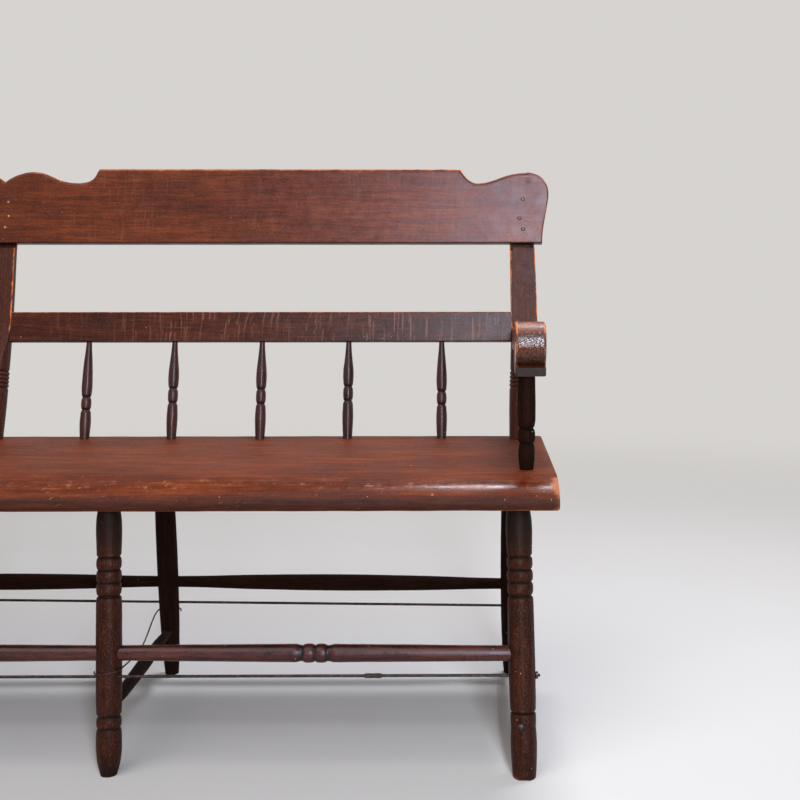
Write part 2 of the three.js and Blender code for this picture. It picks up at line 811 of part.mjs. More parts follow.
const armOutline = () => {
  const rearY = postAxisAtHeight(0, armRearMiddle).y - armEndShare * postRadius;
  const rearBottomZ = armRearTopZ - armRearThickness;
  const rearHandleY = THREE.MathUtils.lerp(rearY, knuckleY, armRearHandleShare);
  const knuckleTopZ = knuckleZ + knuckleRadius;
  const blockFront = knuckleY - knuckleRadius + knuckleBlockSetback;
  const waistZ = knuckleZ - armWaistThickness;
  const [underA, underB, underC, underD] = armUnderPlaceShares.map((share) => (
    blockFront + share * knuckleBlockLength
  ));
  const [riseA, riseB, riseC] = armUnderRiseShares.map((share) => waistZ + share * knuckleRadius);
  const outline = new THREE.Shape();
  outline.moveTo(rearY, rearBottomZ);
  outline.lineTo(rearY, armRearTopZ);
  outline.bezierCurveTo(
    rearHandleY, armRearTopZ - armRearDropShare * armRearThickness,
    knuckleY + armKnuckleHandleShare * knuckleRadius, knuckleTopZ,
    knuckleY, knuckleTopZ,
  );
  outline.absarc(knuckleY, knuckleZ, knuckleRadius, Math.PI / 2, 2 * Math.PI * knuckleTurnShare, false);
  outline.lineTo(blockFront, knuckleBottomZ + knuckleBlockHeight);
  outline.lineTo(blockFront, knuckleBottomZ);
  outline.lineTo(blockFront + knuckleBlockLength, knuckleBottomZ);
  outline.bezierCurveTo(underA, knuckleBottomZ, underB, riseA, underC, riseB);
  outline.bezierCurveTo(underD, riseC, rearHandleY, rearBottomZ, rearY, rearBottomZ);
  return outline;
};

// The arm seen from above: its inner side draws in behind the knuckle
const armPlan = (side) => {
  const frontY = knuckleY - knuckleRadius - overrun;
  const drawStartY = knuckleY + knuckleRadius;
  const [drawMiddleY, drawEndY] = armDrawShares.map((share) => (
    THREE.MathUtils.lerp(drawStartY, backY, share)
  ));
  const outerX = side * (armWidth / 2 + overrun);
  const innerX = -side * (armWidth / 2 + clearance);
  const rearInnerX = side * (armWidth / 2 - armRearWidth);
  const plan = new THREE.Shape();
  plan.moveTo(outerX, frontY);
  plan.lineTo(outerX, backY);
  plan.lineTo(rearInnerX, backY);
  plan.lineTo(rearInnerX, drawEndY);
  plan.bezierCurveTo(rearInnerX, drawMiddleY, innerX, drawMiddleY, innerX, drawStartY);
  plan.lineTo(innerX, frontY);
  plan.closePath();
  const height = armRearTop + knuckleCentreHeight;
  const geometry = new THREE.ExtrudeGeometry(plan, { depth: height, bevelEnabled: false, curveSegments: 4 });
  return toSolid(geometry, new THREE.Matrix4().makeTranslation(armX(side), 0, seatHeight));
};

const makeArms = () => {
  [-1, 1].forEach((side, i) => {
    const x = armX(side);
    const name = side < 0 ? 'left' : 'right';
    const post = side < 0 ? 0 : postAxes.length - 1;
    const { front, end } = armTenonEnds(side);
    let solid = slabAlongX(armOutline(), x - armWidth / 2, x + armWidth / 2, armEdgeRound);
    solid = solid.intersect(armPlan(side));
    solid = solid.subtract(postBody(post, clearance));
    solid = solid.add(bar(front, end, armTenonRadius));
    const axis = armPostAxes[i];
    const tenonEnd = pointFrom(axis.to, axis.from, -armPostTenonLength);
    solid = solid.subtract(socket(axis.from, tenonEnd, armPostTenonRadius));
    const knucklePlace = new THREE.Matrix4().makeTranslation(x, knuckleY, knuckleZ);
    addPiece(arms, `arm_${name}`, solid, redBrown(), knucklePlace);
    let upright = turned(armPostShares, armPostRadius, armPostSides, axis.from, axis.to);
    upright = upright.intersect(levelBlock(seatHeight + clearance, knuckleBottomZ - clearance));
    const low = pointFrom(axis.from, axis.to, -armPostTenonLength);
    upright = upright.add(bar(low, tenonEnd, armPostTenonRadius));
    addPiece(arms, `arm_post_${name}`, upright, darkBrown(), alongMatrix(axis.from, axis.to));
  });
};

// Iron rods with a square nut at each end, wire between a front and a rear leg, and one bolt
const makeNut = (name, rodEnd, inward) => {
  const outer = pointFrom(rodEnd, inward, rodTail);
  const matrix = alongMatrix(outer, inward);
  const half = nutAcross / 2;
  let solid = block(at(-half, -half, 0), at(half, half, nutThickness), matrix);
  solid = solid.subtract(bar(
    pointFrom(outer, inward, -overrun),
    pointFrom(outer, inward, overrun),
    rodRadius + clearance,
    rodSides,
  ));
  addPiece(braces, name, solid, iron(), matrix);
};

const makeRods = () => {
  [['front_rod', frontRodSpan], ['rear_rod', rearRodSpan]].forEach(([name, { from, to }], i) => {
    addPiece(braces, name, bar(from, to, rodRadius, rodSides), iron(), alongMatrix(from, to));
    makeNut(`rod_nut_${2 * i + 1}`, from, to);
    makeNut(`rod_nut_${2 * i + 2}`, to, from);
  });
};

const wireRoute = (legIndex) => {
  const side = Math.sign(legX[legIndex]);
  const points = [];
  const ring = (axis, radius, height, startDegrees, stepDegrees, count, rise) => {
    for (let n = 0; n < count; n += 1) {
      const angle = THREE.MathUtils.degToRad(startDegrees + stepDegrees * n);
      const z = height + rise * (n / (count - 1) - 0.5);
      const centre = pointAtHeight(axis, z);
      points.push(at(
        centre.x + side * radius * Math.cos(angle),
        centre.y + radius * Math.sin(angle),
        z,
      ));
    }
  };
  const frontHeight = frontRodHeight + wireRiseOverRod;
  const frontReach = legRadius + wireRadius + wireGap;
  const rearReach = rearLegRadius + wireRadius + wireGap;
  ring(rearLegAxes[legIndex], rearReach, wireHeightAtRearLeg, 0, 36, 6, 0);
  const start = points[points.length - 1];
  const frontCentre = pointAtHeight(frontLegAxes[legIndex], frontHeight);
  const middle = between(start, frontCentre.add(at(side * frontReach, 0, 0)), 0.5);
  points.push(middle.setZ(middle.z - wireSag));
  ring(frontLegAxes[legIndex], frontReach, frontHeight, 0, -36, 6, -wireSlant);
  return new THREE.CatmullRomCurve3(points, false, 'centripetal');
};

const makeWires = () => {
  const corners = [];
  for (let i = 0; i < wireSides; i += 1) {
    const angle = 2 * Math.PI * i / wireSides;
    corners.push(new THREE.Vector2(wireRadius * Math.cos(angle), wireRadius * Math.sin(angle)));
  }
  const section = new THREE.Shape(corners);
  for (const legIndex of [1, 2]) {
    const geometry = new THREE.ExtrudeGeometry(section, {
      steps: wireSteps,
      bevelEnabled: false,
      extrudePath: wireRoute(legIndex),
    });
    const name = legX[legIndex] < 0 ? 'left' : 'right';
    addPiece(braces, `tie_wire_${name}`, toSolid(geometry), iron());
  }
};

const makeBolt = () => {
  const headTop = pointFrom(boltStart, boltEnd, -boltHeadHeight);
  const dome = [[0, 1], [0.45, 0.93], [0.8, 0.68], [1, 0.3]];
  const head = turned(dome, boltHeadRadius, legSides, pointFrom(boltStart, boltEnd, -clearance), headTop);
  const shank = bar(pointFrom(boltStart, headTop, clearance), boltEnd, boltRadius);
  addPiece(braces, 'foot_bolt', head.add(shank), iron(), alongMatrix(boltEnd, headTop));
};

makeSeat();
makeLegs();
makeStretchers();
makePosts();
makeSpindles();
makeMidRails();
makeCrest();
makeNails();
makeArms();
makeRods();
makeWires();
makeBolt();

// The bench stands with its floor outline centred on the origin
const extent = new THREE.Box3().setFromObject(bench);
bench.position.y = -(extent.min.y + extent.max.y) / 2;

export default bench;
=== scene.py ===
# Looks of a long bench with a spindle back: turned legs, rolled arms, a scroll-cut crest rail
# and an old red-brown varnish that is worn to orange along its edges.
# Metres. X runs along the bench to the right of someone who faces it, Y to its back, and Z up.

import math
import zlib

import bpy
import numpy as np
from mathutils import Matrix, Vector, noise
from numpy.linalg import norm


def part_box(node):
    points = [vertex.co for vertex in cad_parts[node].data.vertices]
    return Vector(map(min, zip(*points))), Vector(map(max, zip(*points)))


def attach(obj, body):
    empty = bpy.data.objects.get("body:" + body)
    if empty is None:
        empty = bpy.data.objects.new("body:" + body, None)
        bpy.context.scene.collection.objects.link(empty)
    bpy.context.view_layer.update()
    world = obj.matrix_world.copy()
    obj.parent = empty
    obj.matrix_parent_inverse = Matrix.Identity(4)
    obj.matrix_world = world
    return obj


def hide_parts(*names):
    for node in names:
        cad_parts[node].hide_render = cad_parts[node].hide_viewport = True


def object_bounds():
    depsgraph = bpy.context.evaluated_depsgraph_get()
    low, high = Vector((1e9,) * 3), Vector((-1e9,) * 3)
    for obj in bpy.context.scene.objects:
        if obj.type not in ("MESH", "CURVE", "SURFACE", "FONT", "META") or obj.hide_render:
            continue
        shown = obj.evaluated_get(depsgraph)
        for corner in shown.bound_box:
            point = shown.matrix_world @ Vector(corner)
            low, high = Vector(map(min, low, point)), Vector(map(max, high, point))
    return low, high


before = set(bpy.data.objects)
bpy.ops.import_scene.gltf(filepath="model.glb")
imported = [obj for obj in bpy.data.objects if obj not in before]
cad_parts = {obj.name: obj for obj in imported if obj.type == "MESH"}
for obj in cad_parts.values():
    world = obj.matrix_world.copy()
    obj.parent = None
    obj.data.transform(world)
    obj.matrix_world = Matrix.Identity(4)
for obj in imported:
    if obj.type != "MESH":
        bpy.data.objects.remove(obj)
cad_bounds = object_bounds()
MM = 0.001
SHARP_ANGLE = math.radians(40)
CONTACT = 0.3 * MM

# Seat, as the frame gives it
SEAT_LOW, SEAT_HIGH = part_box("seat_plank")
FRONT_Y = SEAT_LOW.y
SEAT_TOP = SEAT_HIGH.z
SEAT_BOTTOM = SEAT_LOW.z
SEAT_ROLL_DEPTH = 73 * MM
SEAT_ROLL_DROP = 33 * MM
SEAT_UNDER_ROUND = 14 * MM

# Camera
LENS = 57.06
SHIFT = (-0.0846, -0.187)
CAMERA_PLACE = (0.831, FRONT_Y - 1.8798, 0.819)
CAMERA_TURN = (89.01, 0, -0.55)

# Back: a leaning frame whose h runs up the back from the top of the seat, and whose y is square to it
BACK_TILT = math.radians(11.3)
LEAN_COS, LEAN_SIN = math.cos(BACK_TILT), math.sin(BACK_TILT)
BACK_Y = SEAT_HIGH.y - 26 * MM
END_POST_X = SEAT_HIGH.x - 39.5 * MM
POST_X = (-END_POST_X, 0.0, END_POST_X)
END_POST_LEAN = 8.5 * MM
POST_RADIUS = 23 * MM
POST_FLAT_Y = -10 * MM
POST_FLAT_START = 118 * MM
POST_FLAT_FULL = 205 * MM
POST_TOP = 458 * MM
CREST_BOTTOM = 354 * MM
CREST_HEIGHT = 140 * MM
CREST_THICKNESS = 22 * MM
CREST_SHOULDER = CREST_BOTTOM - 7 * MM
CREST_FRONT_Y = POST_FLAT_Y - 8 * MM
CREST_TOP_X = END_POST_X + END_POST_LEAN
CREST_END = CREST_TOP_X + 47 * MM
CREST_DRAWN_END = CREST_END - 12.7 * MM
MID_RAIL_BOTTOM = 173.5 * MM
MID_RAIL_HEIGHT = 54.5 * MM
MID_RAIL_THICKNESS = 18 * MM

# Legs and stretchers: insets are measured at the underside of the seat, splay and rake at the floor
LEG_RADIUS = 19.7 * MM
REAR_LEG_RADIUS = 18.5 * MM
FRONT_LEG_INSET = 49 * MM
END_LEG_RAKE = 48 * MM
INNER_LEG_RAKE = 34 * MM
FRONT_LEG_SPLAY = 7 * MM
REAR_LEG_INSET = 32 * MM
REAR_LEG_RAKE = 60 * MM
REAR_LEG_SPREAD = 4 * MM
REAR_LEG_SPLAY = 1 * MM
FRONT_STRETCHER_HEIGHT = 178 * MM
REAR_STRETCHER_HEIGHT = 177 * MM
REAR_STRETCHER_FALL = 6 * MM
SIDE_STRETCHER_HEIGHTS = (93 * MM, 86 * MM)
BOLT_HEIGHT = 77 * MM
FRONT_STRETCHER_RADIUS = 14 * MM
REAR_STRETCHER_RADIUS = 14.5 * MM
SIDE_STRETCHER_RADIUS = 11 * MM
END_LEG_X = SEAT_HIGH.x - 60 * MM
INNER_LEG_X = 0.3275 * END_LEG_X
LEG_X = (-END_LEG_X, -INNER_LEG_X, INNER_LEG_X, END_LEG_X)

# Spindles: shares of the way from the middle post to an end post, and the two ends of each one's bead
SPINDLE_RADIUS = 9.8 * MM
SPINDLE_SHARES = (0.1745, 0.3385, 0.506, 0.672, 0.8505)
SPINDLE_BEADS = ((0.3, 0.42), (0.37, 0.51), (0.36, 0.5), (0.39, 0.53), (0.35, 0.475))

# Arms and their posts
ARM_X = SEAT_HIGH.x - 39.25 * MM
ARM_WIDTH = 47 * MM
ARM_REAR_WIDTH = 38 * MM
ARM_REAR_TOP = SEAT_TOP + 198 * MM
ARM_REAR_DEPTH = 39 * MM
KNUCKLE_RADIUS = 34.5 * MM
KNUCKLE_Y = FRONT_Y + 100 * MM
KNUCKLE_Z = SEAT_TOP + 196.5 * MM
KNUCKLE_BOTTOM = KNUCKLE_Z - KNUCKLE_RADIUS - 14 * MM
BLOCK_FRONT = KNUCKLE_Y - KNUCKLE_RADIUS + 8 * MM
BLOCK_LENGTH = 56 * MM
WAIST_Z = KNUCKLE_Z - 33 * MM
ARM_POST_RADIUS = 14.2 * MM
ARM_POST_X = SEAT_HIGH.x - 44.75 * MM

# Iron
ROD_RADIUS = 2.2 * MM
WIRE_RADIUS = 1.3 * MM
NAIL_HEAD_RADIUS = 3.7 * MM
NAIL_HEAD_RISE = 0.8 * MM
SPLICE_X = 707 * MM
FRONT_ROD_HEIGHTS = (146 * MM, 146 * MM)
REAR_ROD_HEIGHTS = (155 * MM, 129 * MM)
FRONT_WIRE_HEIGHT = 154 * MM
REAR_WIRE_HEIGHT = 121 * MM


# Shapes

def seed_of(name):
    """A steady number between 0 and 1 for each piece's name."""
    return zlib.crc32(name.encode()) % 9973 / 9973


def lerp(a, b, share):
    return a + (b - a) * share


def on_back(x, y, h):
    """Points of the leaning back, in the bench's frame."""
    lean_y, lean_z = BACK_Y + y * LEAN_COS + h * LEAN_SIN, SEAT_TOP - y * LEAN_SIN + h * LEAN_COS
    return np.stack(np.broadcast_arrays(x, lean_y, lean_z), axis=-1)


def off_back(points):
    """The y and h of points in the bench's frame."""
    y, z = points[:, 1] - BACK_Y, points[:, 2] - SEAT_TOP
    return y * LEAN_COS - z * LEAN_SIN, y * LEAN_SIN + z * LEAN_COS


def unit(vector):
    return vector / norm(vector)


def hill(values, middle, width):
    """1 at the middle, and falling smoothly to nothing on both sides."""
    return np.exp(-((values - middle) / width) ** 2)


def fade(distance, reach):
    """1 where there is no distance, and falling towards nothing."""
    return np.exp(-distance / reach)


def climb(values, start, length):
    """0 up to the start, and 1 from a length further on."""
    return np.clip((values - start) / length, 0, 1)


def dents(points, size, depth, seed):
    """Smooth heights at the points, one value each."""
    shift = Vector((seed * 37, seed * 11, seed * 23))
    return np.array([depth * noise.noise(Vector(p) / size + shift) for p in points])


def put(name, data, place=(0, 0, 0), turn=(0, 0, 0)):
    """Makes an object and sets it in the scene."""
    made = bpy.data.objects.new(name, data)
    made.location, made.rotation_euler = place, turn
    bpy.context.scene.collection.objects.link(made)
    return made


def finish_piece(name, node, points, faces, values, finish, rough=0):
    """Makes the piece that stands for a node, wears its surface a little and gives it its finish.

    values are those of its points: grain is a place in the wood, and wear, dirt and gloss go from 0 to 1.
    dirt holds dirt and painted shade.
    """
    mesh = bpy.data.meshes.new(name)
    points = np.asarray(points, float)
    mesh.from_pydata([tuple(p) for p in points], [], faces)
    if rough > 0:
        normals = np.zeros(len(points) * 3, np.float32)
        mesh.vertex_normals.foreach_get("vector", normals)
        seed = seed_of(name)
        push = dents(points, 45 * MM, rough, seed) + dents(points, 9 * MM, 0.3 * rough, seed + 3)
        points = points + push[:, None] * normals.reshape(-1, 3)
    inside = np.clip(points, *(np.array(corner) for corner in cad_bounds))
    mesh.vertices.foreach_set("co", inside.astype(np.float32).ravel())
    for key in ("wear", "dirt", "gloss"):
        share = np.clip(values.get(key, np.zeros(len(points))), 0, 1).astype(np.float32)
        mesh.attributes.new(key, "FLOAT", "POINT").data.foreach_set("value", share)
    grain = values["grain"].astype(np.float32).ravel()
    mesh.attributes.new("grain", "FLOAT_VECTOR", "POINT").data.foreach_set("vector", grain)
    mesh.shade_smooth()
    mesh.set_sharp_from_angle(angle=SHARP_ANGLE)
    mesh.materials.append(finish[0])
    mesh.update()
    piece = put(name, mesh)
    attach(piece, "root")
    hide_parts(node)


def grid_faces(rows, columns, closed, start=0):
    """Quads of a grid of rows by columns; closed joins the last column to the first."""
    faces = []
    for i in range(rows - 1):
        for j in range(columns if closed else columns - 1):
            k = (j + 1) % columns
            a, b = start + i * columns, start + (i + 1) * columns
            faces.append((a + j, a + k, b + k, b + j))
    return faces


def pipe_faces(rows, sides):
    """Faces of a pipe that is closed at both ends."""
    last = (rows - 1) * sides
    return grid_faces(rows, sides, True) + [tuple(range(sides - 1, -1, -1)), tuple(range(last, last + sides))]


def smooth_rows(*rows, steps=6):
    """Rows on a smooth curve through the rows given."""
    p = np.array(rows, float)
    slopes = np.gradient(p[:, 1], p[:, 0])
    made = []
    for i in range(len(p) - 1):
        gap = p[i + 1, 0] - p[i, 0]
        for s in np.linspace(0, 1, steps, endpoint=False):
            swell = (2 * s**3 - 3 * s**2 + 1) * p[i, 1] + (3 * s**2 - 2 * s**3) * p[i + 1, 1]
            lean = (s**3 - 2 * s**2 + s) * gap * slopes[i] + (s**3 - s**2) * gap * slopes[i + 1]
            made.append((p[i, 0] + s * gap, swell + lean))
    return [*made, tuple(p[-1])]


def bead_rows(low, high, waist, full, steps=12):
    """Rows of one bead: a round swelling between two fine grooves."""
    rows = []
    for i in range(steps + 1):
        along = 0.002 + 0.996 * i / steps
        swell = (1 - (2 * along - 1) ** 2) ** 0.45
        rows.append((low + (high - low) * i / steps, waist + (full - waist) * swell))
    return rows


def around(angles):
    """Points of a circle at the angles, at a distance of 1."""
    return np.stack([np.cos(angles), np.sin(angles)], -1)


def square_to(axis):
    """Two directions square to an axis and to each other."""
    side = unit(np.cross(axis, (0, 1, 0) if abs(axis[1]) < 0.9 else (1, 0, 0)))
    return side, np.cross(axis, side)


def names(kind, tag):
    """The names of a turned piece and of its node."""
    return f"{kind}_turned_{tag}", f"{kind}_{tag}"


def turned(name, node, start, end, rows, radius, finish, sides=56, shape=None, rough=0.2 * MM):
    """A turned piece. rows are shares of its length and radius; shape may bend its points and values."""
    start, end = np.array(start, float), np.array(end, float)
    length = norm(end - start)
    axis = unit(end - start)
    t, r = np.array(rows).T * np.array([[length], [radius]])
    even = np.linspace(t[0], t[-1], max(3, int((t[-1] - t[0]) / (5 * MM))))
    t_all = np.unique(np.round(np.concatenate([t, even]), 6))
    fine = np.linspace(t[0], t[-1], 1500)
    fine_r = np.interp(fine, t, r)
    reach = int(np.clip(7 * MM / (fine[1] - fine[0]), 3, 300))
    windows = np.lib.stride_tricks.sliding_window_view(np.pad(fine_r, reach, mode="edge"), 2 * reach + 1)
    # darker in grooves and necks: dirt; shape may add painted shade to the same values
    dirt = np.interp(t_all, fine, climb(windows.max(1), fine_r, 2.2 * MM))
    wear = np.interp(t_all, fine, climb(fine_r, windows.mean(1), 1.1 * MM))
    along = t_all[:, None, None]
    circle = around(np.linspace(0, 2 * math.pi, sides, endpoint=False))
    across = np.interp(t_all, t, r)[:, None, None] * circle
    points = (start + along * axis + across @ np.array(square_to(axis))).reshape(-1, 3)
    grain = np.concatenate([across, np.broadcast_to(along, across.shape[:2] + (1,))], -1).reshape(-1, 3)
    seed = seed_of(name)
    values = {
        "grain": grain + (seed * 0.05 + 0.04, seed * 0.03 + 0.03, seed * 7.3),
        "wear": np.repeat(wear, sides),
        "dirt": np.repeat(dirt, sides),
    }
    if shape is not None:
        points = shape(points, values)
    finish_piece(name, node, points, pipe_faces(len(t_all), sides), values, finish, rough)


def bezier(p0, p1, p2, p3, steps=16):
    """Points of a cubic curve, the last one left out."""
    s = np.linspace(0, 1, steps, endpoint=False)[:, None]
    p0, p1, p2, p3 = (np.array(p, float) for p in (p0, p1, p2, p3))
    return list((1 - s)**3 * p0 + 3 * (1 - s)**2 * s * p1 + 3 * (1 - s) * s**2 * p2 + s**3 * p3)


EDGE_STEPS = np.array([0, 0.5, 1.2, 2.2, 3.4, 5, 7, 10, 15]) * MM


def dense_ends(length, spacing):
    """Distances from 0 to a length, close together at both ends, so that an edge can be rounded."""
    near = EDGE_STEPS[EDGE_STEPS < 0.4 * length]
    middle = np.linspace(near[-1], length - near[-1], max(2, int((length - 2 * near[-1]) / spacing) + 1))
    return np.unique(np.round(np.concatenate([near, middle, length - near]), 7))


def along_path(path):
    """A path's points, and how far along it each one lies."""
    path = np.asarray(path, float)
    return path, np.concatenate([[0], np.cumsum(norm(np.diff(path, axis=0), axis=1))])


def spread(path, shares):
    """Points of a path at the given shares of its length."""
    path, along = along_path(path)
    return np.stack([np.interp(np.asarray(shares) * along[-1], along, path[:, k]) for k in range(2)], -1)


def resample(path, spacing):
    """Points along a path at about the spacing, with its corners kept and its two ends dense."""
    path, along = along_path(path)
    heading = np.arctan2(np.diff(path[:, 1]), np.diff(path[:, 0]))
    turn = np.abs((np.diff(heading) + math.pi) % (2 * math.pi) - math.pi)
    corners = along[1:-1][turn > 0.35]
    stations = np.unique(np.round(np.concatenate([dense_ends(along[-1], spacing), corners]), 6))
    keep = np.concatenate([[True], np.diff(stations) > 0.2 * MM])
    return spread(path, stations[keep] / along[-1])


def edge_distance(points, path):
    """Distance of each point from a path of straight steps."""
    best = np.full(len(points), 1e9)
    for a, b in zip(path[:-1], path[1:]):
        step = b - a
        share = np.clip(((points - a) @ step) / max(step @ step, 1e-18), 0, 1)
        best = np.minimum(best, norm(points - (a + share[:, None] * step), axis=1))
    return best


def rounding(distance, radius):
    """How far a surface falls back at a distance from an edge that is rounded to the radius."""
    inside = np.clip(radius - distance, 0, radius)
    return radius - np.sqrt(np.maximum(radius**2 - inside**2, 0))


def board(name, node, bottom, top, left, right, thickness, rounds, place, marks, finish, bands=3,
          band_wear=1, edge_wear=1, open_ends=False, long_depth=False, flip=False, side_blend=12,
          rough=0.15 * MM):
    """A board cut to an outline of four edges, with rounded arrises on both of its faces.

    bottom and top have as many points as each other, and so have left and right, which run upwards.
    rounds are the radii of the top arris and of the others. place(u, w, depth) gives points in the bench's
    frame, and marks(points) gives what is added to their wear, and their dirt (dirt and painted shade) and
    gloss.
    """
    columns, rows = len(bottom), len(left)
    v = norm(left - left[0], axis=1)[:, None, None] / norm(left[-1] - left[0])
    u = np.linspace(0, 1, columns)[None, :, None]
    grid = lerp(bottom[None], top[None], v)
    left_off, right_off = left - grid[:, 0], right - grid[:, -1]
    grid = grid + (1 - u) ** side_blend * left_off[:, None] + u ** side_blend * right_off[:, None]
    flat = grid.reshape(-1, 2)
    rest = [bottom] if open_ends else [bottom, left, right]
    from_top = edge_distance(flat, top)
    from_rest = np.min([edge_distance(flat, edge) for edge in rest], axis=0)
    top_round, rest_round = rounds
    fall = np.maximum(rounding(from_top, top_round), rounding(from_rest, rest_round))
    size = rows * columns
    index = np.arange(size).reshape(rows, columns)
    ring = np.concatenate([index[0], index[1:, -1], index[-1, -2::-1], index[-2:0:-1, 0]]).tolist()
    loop = len(ring)
    shares = np.linspace(0, 1, bands + 1)[1:-1]
    rim = fall[ring]
    outline = np.concatenate([flat, flat] + [flat[ring]] * len(shares))
    depth = np.concatenate([fall, thickness - fall] + [lerp(rim, thickness - rim, s) for s in shares])
    points = place(*outline.T, depth)
    faces = grid_faces(rows, columns, False)
    faces += [f[::-1] for f in grid_faces(rows, columns, False, size)]
    starts = range(2 * size, len(points), loop)
    levels = [ring, *(range(start, start + loop) for start in starts), [size + i for i in ring]]
    for near, far in zip(levels, levels[1:]):
        faces += [(near[k], near[k - 1], far[k - 1], far[k]) for k in (*range(1, loop), 0)]
    if flip:
        faces = [f[::-1] for f in faces]
    edge = np.maximum(
        fade(from_top, 0.4 * top_round + 0.6 * MM),
        0.85 * fade(from_rest, 0.5 * rest_round + 0.4 * MM),
    )
    wear = edge_wear * np.concatenate([edge, edge, np.full(loop * len(shares), band_wear)])
    grain = np.stack([*outline.T, depth] if long_depth else [outline[:, 1], depth, outline[:, 0]], -1)
    grain += np.array((0.2, 0.1, 7.3)) * seed_of(name) + (0.1, 0.04, 0)
    values = marks(points)
    values = {**values, "grain": grain, "wear": wear + values["wear"]}
    finish_piece(name, node, points, faces, values, finish, rough)


def spots(x, y, *marks):
    """Soft round marks: each is a place, its two half widths and its strength."""
    return sum(strength * hill(x, a, wide) * hill(y, b, high) for a, b, wide, high, strength in marks)


# Materials

def rgb(*screen):
    """A colour as a screen shows it, from 0 to 255, made linear."""
    shares = [c / 255 for c in screen]
    return (*(c / 12.92 if c < 0.0404 else ((c + 0.055) / 1.055) ** 2.4 for c in shares), 1)


class Graph:
    """The nodes of a material or of the world, and short ways to add to them."""

    def __init__(self, owner):
        owner.use_nodes = True
        self.owner, self.tree = owner, owner.node_tree
        self.shader = self.tree.nodes.get("Principled BSDF")

    def feed(self, node, values):
        for key, value in values.items():
            if isinstance(value, bpy.types.NodeSocket):
                self.tree.links.new(value, node.inputs[key])
            else:
                node.inputs[key].default_value = value

    def node(self, kind, values, output=0, **settings):
        made = self.tree.nodes.new("ShaderNode" + kind)
        for key, setting in settings.items():
            setattr(made, key, setting)
        self.feed(made, values)
        return made.outputs[output]

    def attribute(self, name, output="Fac"):
        return self.node("Attribute", {}, output, attribute_name=name)

    def math(self, operation, *values, clamp=False):
        return self.node("Math", dict(enumerate(values)), operation=operation, use_clamp=clamp)

    def add(self, total, *values, clamp=False):
        for value in values:
            total = self.math("ADD", total, value, clamp=clamp)
        return total

    def times(self, product, *values):
        for value in values:
            product = self.math("MULTIPLY", product, value)
        return product

    def vector(self, operation, *values, output=0):
        return self.node("VectorMath", dict(enumerate(values)), output, operation=operation)

    def noise(self, place, scale, detail=3, roughness=0.55, along=1, output="Fac"):
        """Noise, drawn out along the grain where along is below 1."""
        if along < 1:
            place = self.vector("MULTIPLY", place, (1, 1, along))
        inputs = {"Vector": place, "Scale": scale, "Detail": detail, "Roughness": roughness}
        return self.node("TexNoise", inputs, output)

    def cells(self, place, scale, output="Distance", feature="F1"):
        return self.node("TexVoronoi", {"Vector": place, "Scale": scale}, output, feature=feature)

    def between(self, value, low, high, to_low=0, to_high=1):
        inputs = {"Value": value, "From Min": low, "From Max": high, "To Min": to_low, "To Max": to_high}
        return self.node("MapRange", inputs, interpolation_type="SMOOTHSTEP")

    def mix(self, share, first, second):
        return self.node("Mix", {0: share, 6: first, 7: second}, 2, data_type="RGBA")

    def ramp(self, value, *stops):
        made = self.node("ValToRGB", {"Fac": value})
        elements = made.node.color_ramp.elements
        while len(elements) < len(stops):
            elements.new(0.5)
        for element, (place, color) in zip(elements, stops):
            element.position, element.color = place, color
        return made


